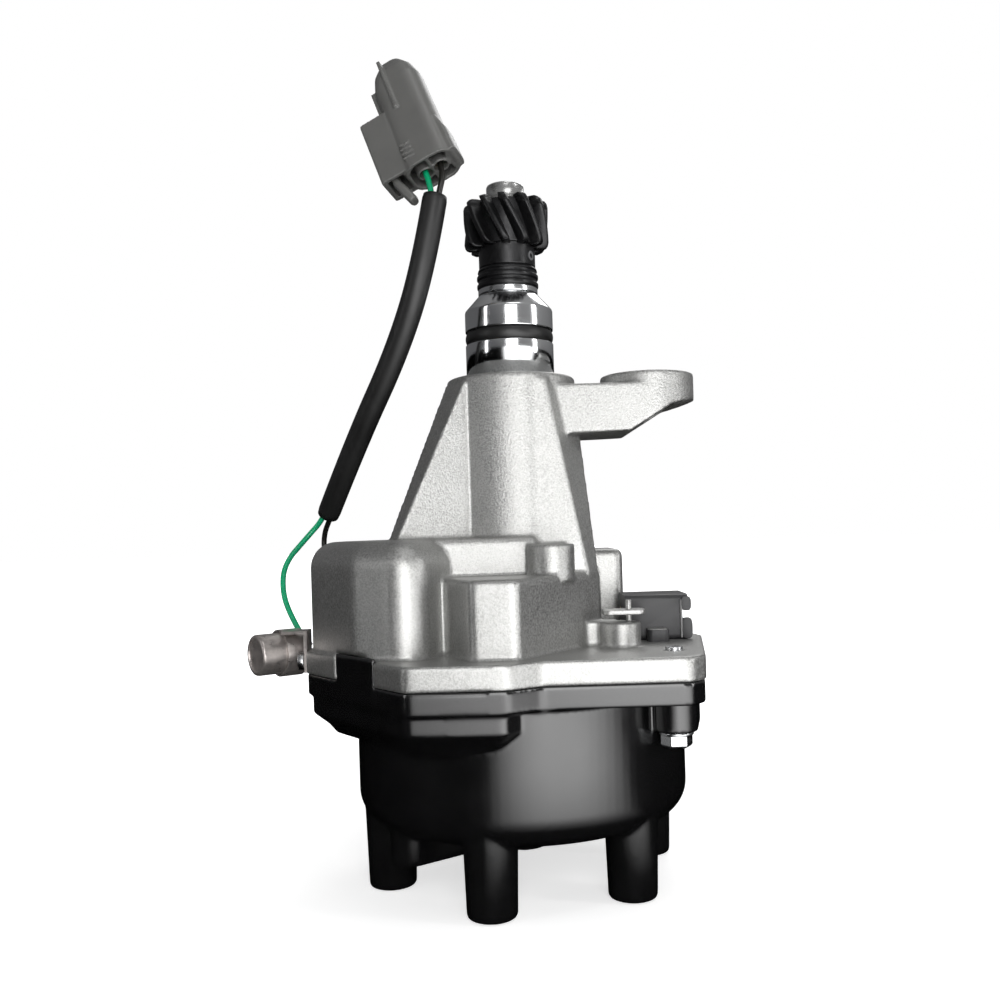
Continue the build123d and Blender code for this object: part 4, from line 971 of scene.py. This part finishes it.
# Latch lever, out of the lock's box and bent towards the sleeve
lever_start = in_plug(-11.8, -1.5, 14.0)
lever_bend = in_plug(-11.8, -1.5, 1.0)
lever_end = in_plug(-8.6, -2.5, -8.3)
past_bend = ((0.3, 1.45), (0.9, 1.45), (1.0, 1.1))
lever_rows = [(lever_start, 0.9), (lever_bend, 1.3)]
lever_rows += [(lever_bend.lerp(lever_end, share), size) for share, size in past_bend]
lever_way = (lever_end - lever_bend).normalized()
lever_side = lever_way.cross(plug_way.cross(plug_across)).normalized()
lever_up = lever_way.cross(lever_side)


def lever_loop(centre, size):
    return [tuple(centre + lever_side * a + lever_up * b) for a, b in super_loop(size, size * 1.5, 2.6, 28)]


lever_mesh = lofted_mesh([lever_loop(centre, size) for centre, size in lever_rows])
lever = softened(new_piece("latch_lever", lever_mesh), 0.3, angle=50)
dress(lever, plug_grey, "distributor", "grey_plastic", "plug_lock")

# Plain white floor, which keeps the shadow near the piece and fades to white light further off
floor_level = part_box("distributor_cap")[0].z
shadow_reach, white_reach = 0.15, 0.33
near_light = 0.6
white = Finish("floor_white", (0.8, 0.8, 0.8), roughness=0.9)
rays = white.node("LightPath")
to_camera = rays.outputs["Is Camera Ray"]
distance = white.vector("LENGTH", white.place).outputs["Value"]
fade = white.ramp(distance, 0.0, 1.0, shadow_reach, white_reach)
faded = white.blended(white.product(to_camera, fade), white.shader.outputs[0], white.glow(1.0))
lit = white.node("AddShader")
white.link(faded, lit.inputs[0])
white.link(white.glow(white.product(to_camera, near_light)), lit.inputs[1])

# In reflections the floor is dark, with a soft pale card standing off in front and to the right
card_way = radians(24)
card_low, card_high = 0.07, 0.22
card_light = 4.2
flat = white.vector("MULTIPLY", white.place, (1, 1, 0)).outputs[0]
outward = white.vector("NORMALIZE", flat).outputs[0]
toward_card = white.vector("DOT_PRODUCT", outward, (sin(card_way), -cos(card_way), 0))
beside = white.ramp(toward_card.outputs["Value"], 0.0, 1.0, 0.72, 0.99)
along = white.ramp(white.vector("LENGTH", flat).outputs["Value"], 0.0, card_light, card_low, card_high)
card = white.glow(white.product(beside, along))
seen = white.blended(rays.outputs["Is Glossy Ray"], lit.outputs[0], card)
white.link(seen, white.tree.nodes["Material Output"].inputs["Surface"])
floor_mesh = bmesh.new()
bmesh.ops.create_grid(floor_mesh, x_segments=1, y_segments=1, size=6)
bmesh.ops.translate(floor_mesh, vec=(0, 0, floor_level - 0.0002), verts=floor_mesh.verts)
floor = new_piece("floor", floor_mesh)
floor.data.materials.append(white.material)

# Studio: dark low down, pale overhead and to the right, plain white to the camera
dark_low, pale_high = (0.11, 0.11, 0.114), (0.32, 0.32, 0.32)
world = bpy.data.worlds.new("studio")
scene.world = world
world.use_nodes = True
studio = NodeTree(world.node_tree)
overhead = tuple(Vector((0.45, -0.25, 0.85)).normalized())
height = studio.vector("DOT_PRODUCT", studio.node("TexCoord").outputs["Generated"], overhead).outputs["Value"]
sky = studio.ramp(height, dark_low, pale_high)
whitened = studio.mixed(studio.node("LightPath").outputs["Is Camera Ray"], sky, (1, 1, 1))
studio.link(whitened, studio.tree.nodes["Background"].inputs["Color"])
light_aim = Vector((0, 0, -0.05))


def softbox(name, place, width, height, power):
    """A rectangular area light at a place in metres that faces the middle of the piece."""
    light = bpy.data.lights.new(name, "AREA")
    light.shape = "RECTANGLE"
    light.size = width
    light.size_y = height
    light.energy = power
    box = bpy.data.objects.new(name, light)
    way = light_aim - Vector(place)
    box.matrix_world = Matrix.Translation(place) @ way.to_track_quat("-Z", "Y").to_matrix().to_4x4()
    scene.collection.objects.link(box)


softbox("key", (0.1, -0.9, 0.04), 0.42, 0.8, 5.3)
softbox("top", (0.15, -0.25, 0.8), 0.3, 0.3, 0.8)
softbox("left strip", (-0.85, -0.45, 0.0), 0.08, 1.0, 1.3)
softbox("right strip", (0.8, -0.3, 0.0), 0.12, 1.0, 2.8)
softbox("back", (0.25, 0.75, 0.7), 0.5, 0.5, 2.4)
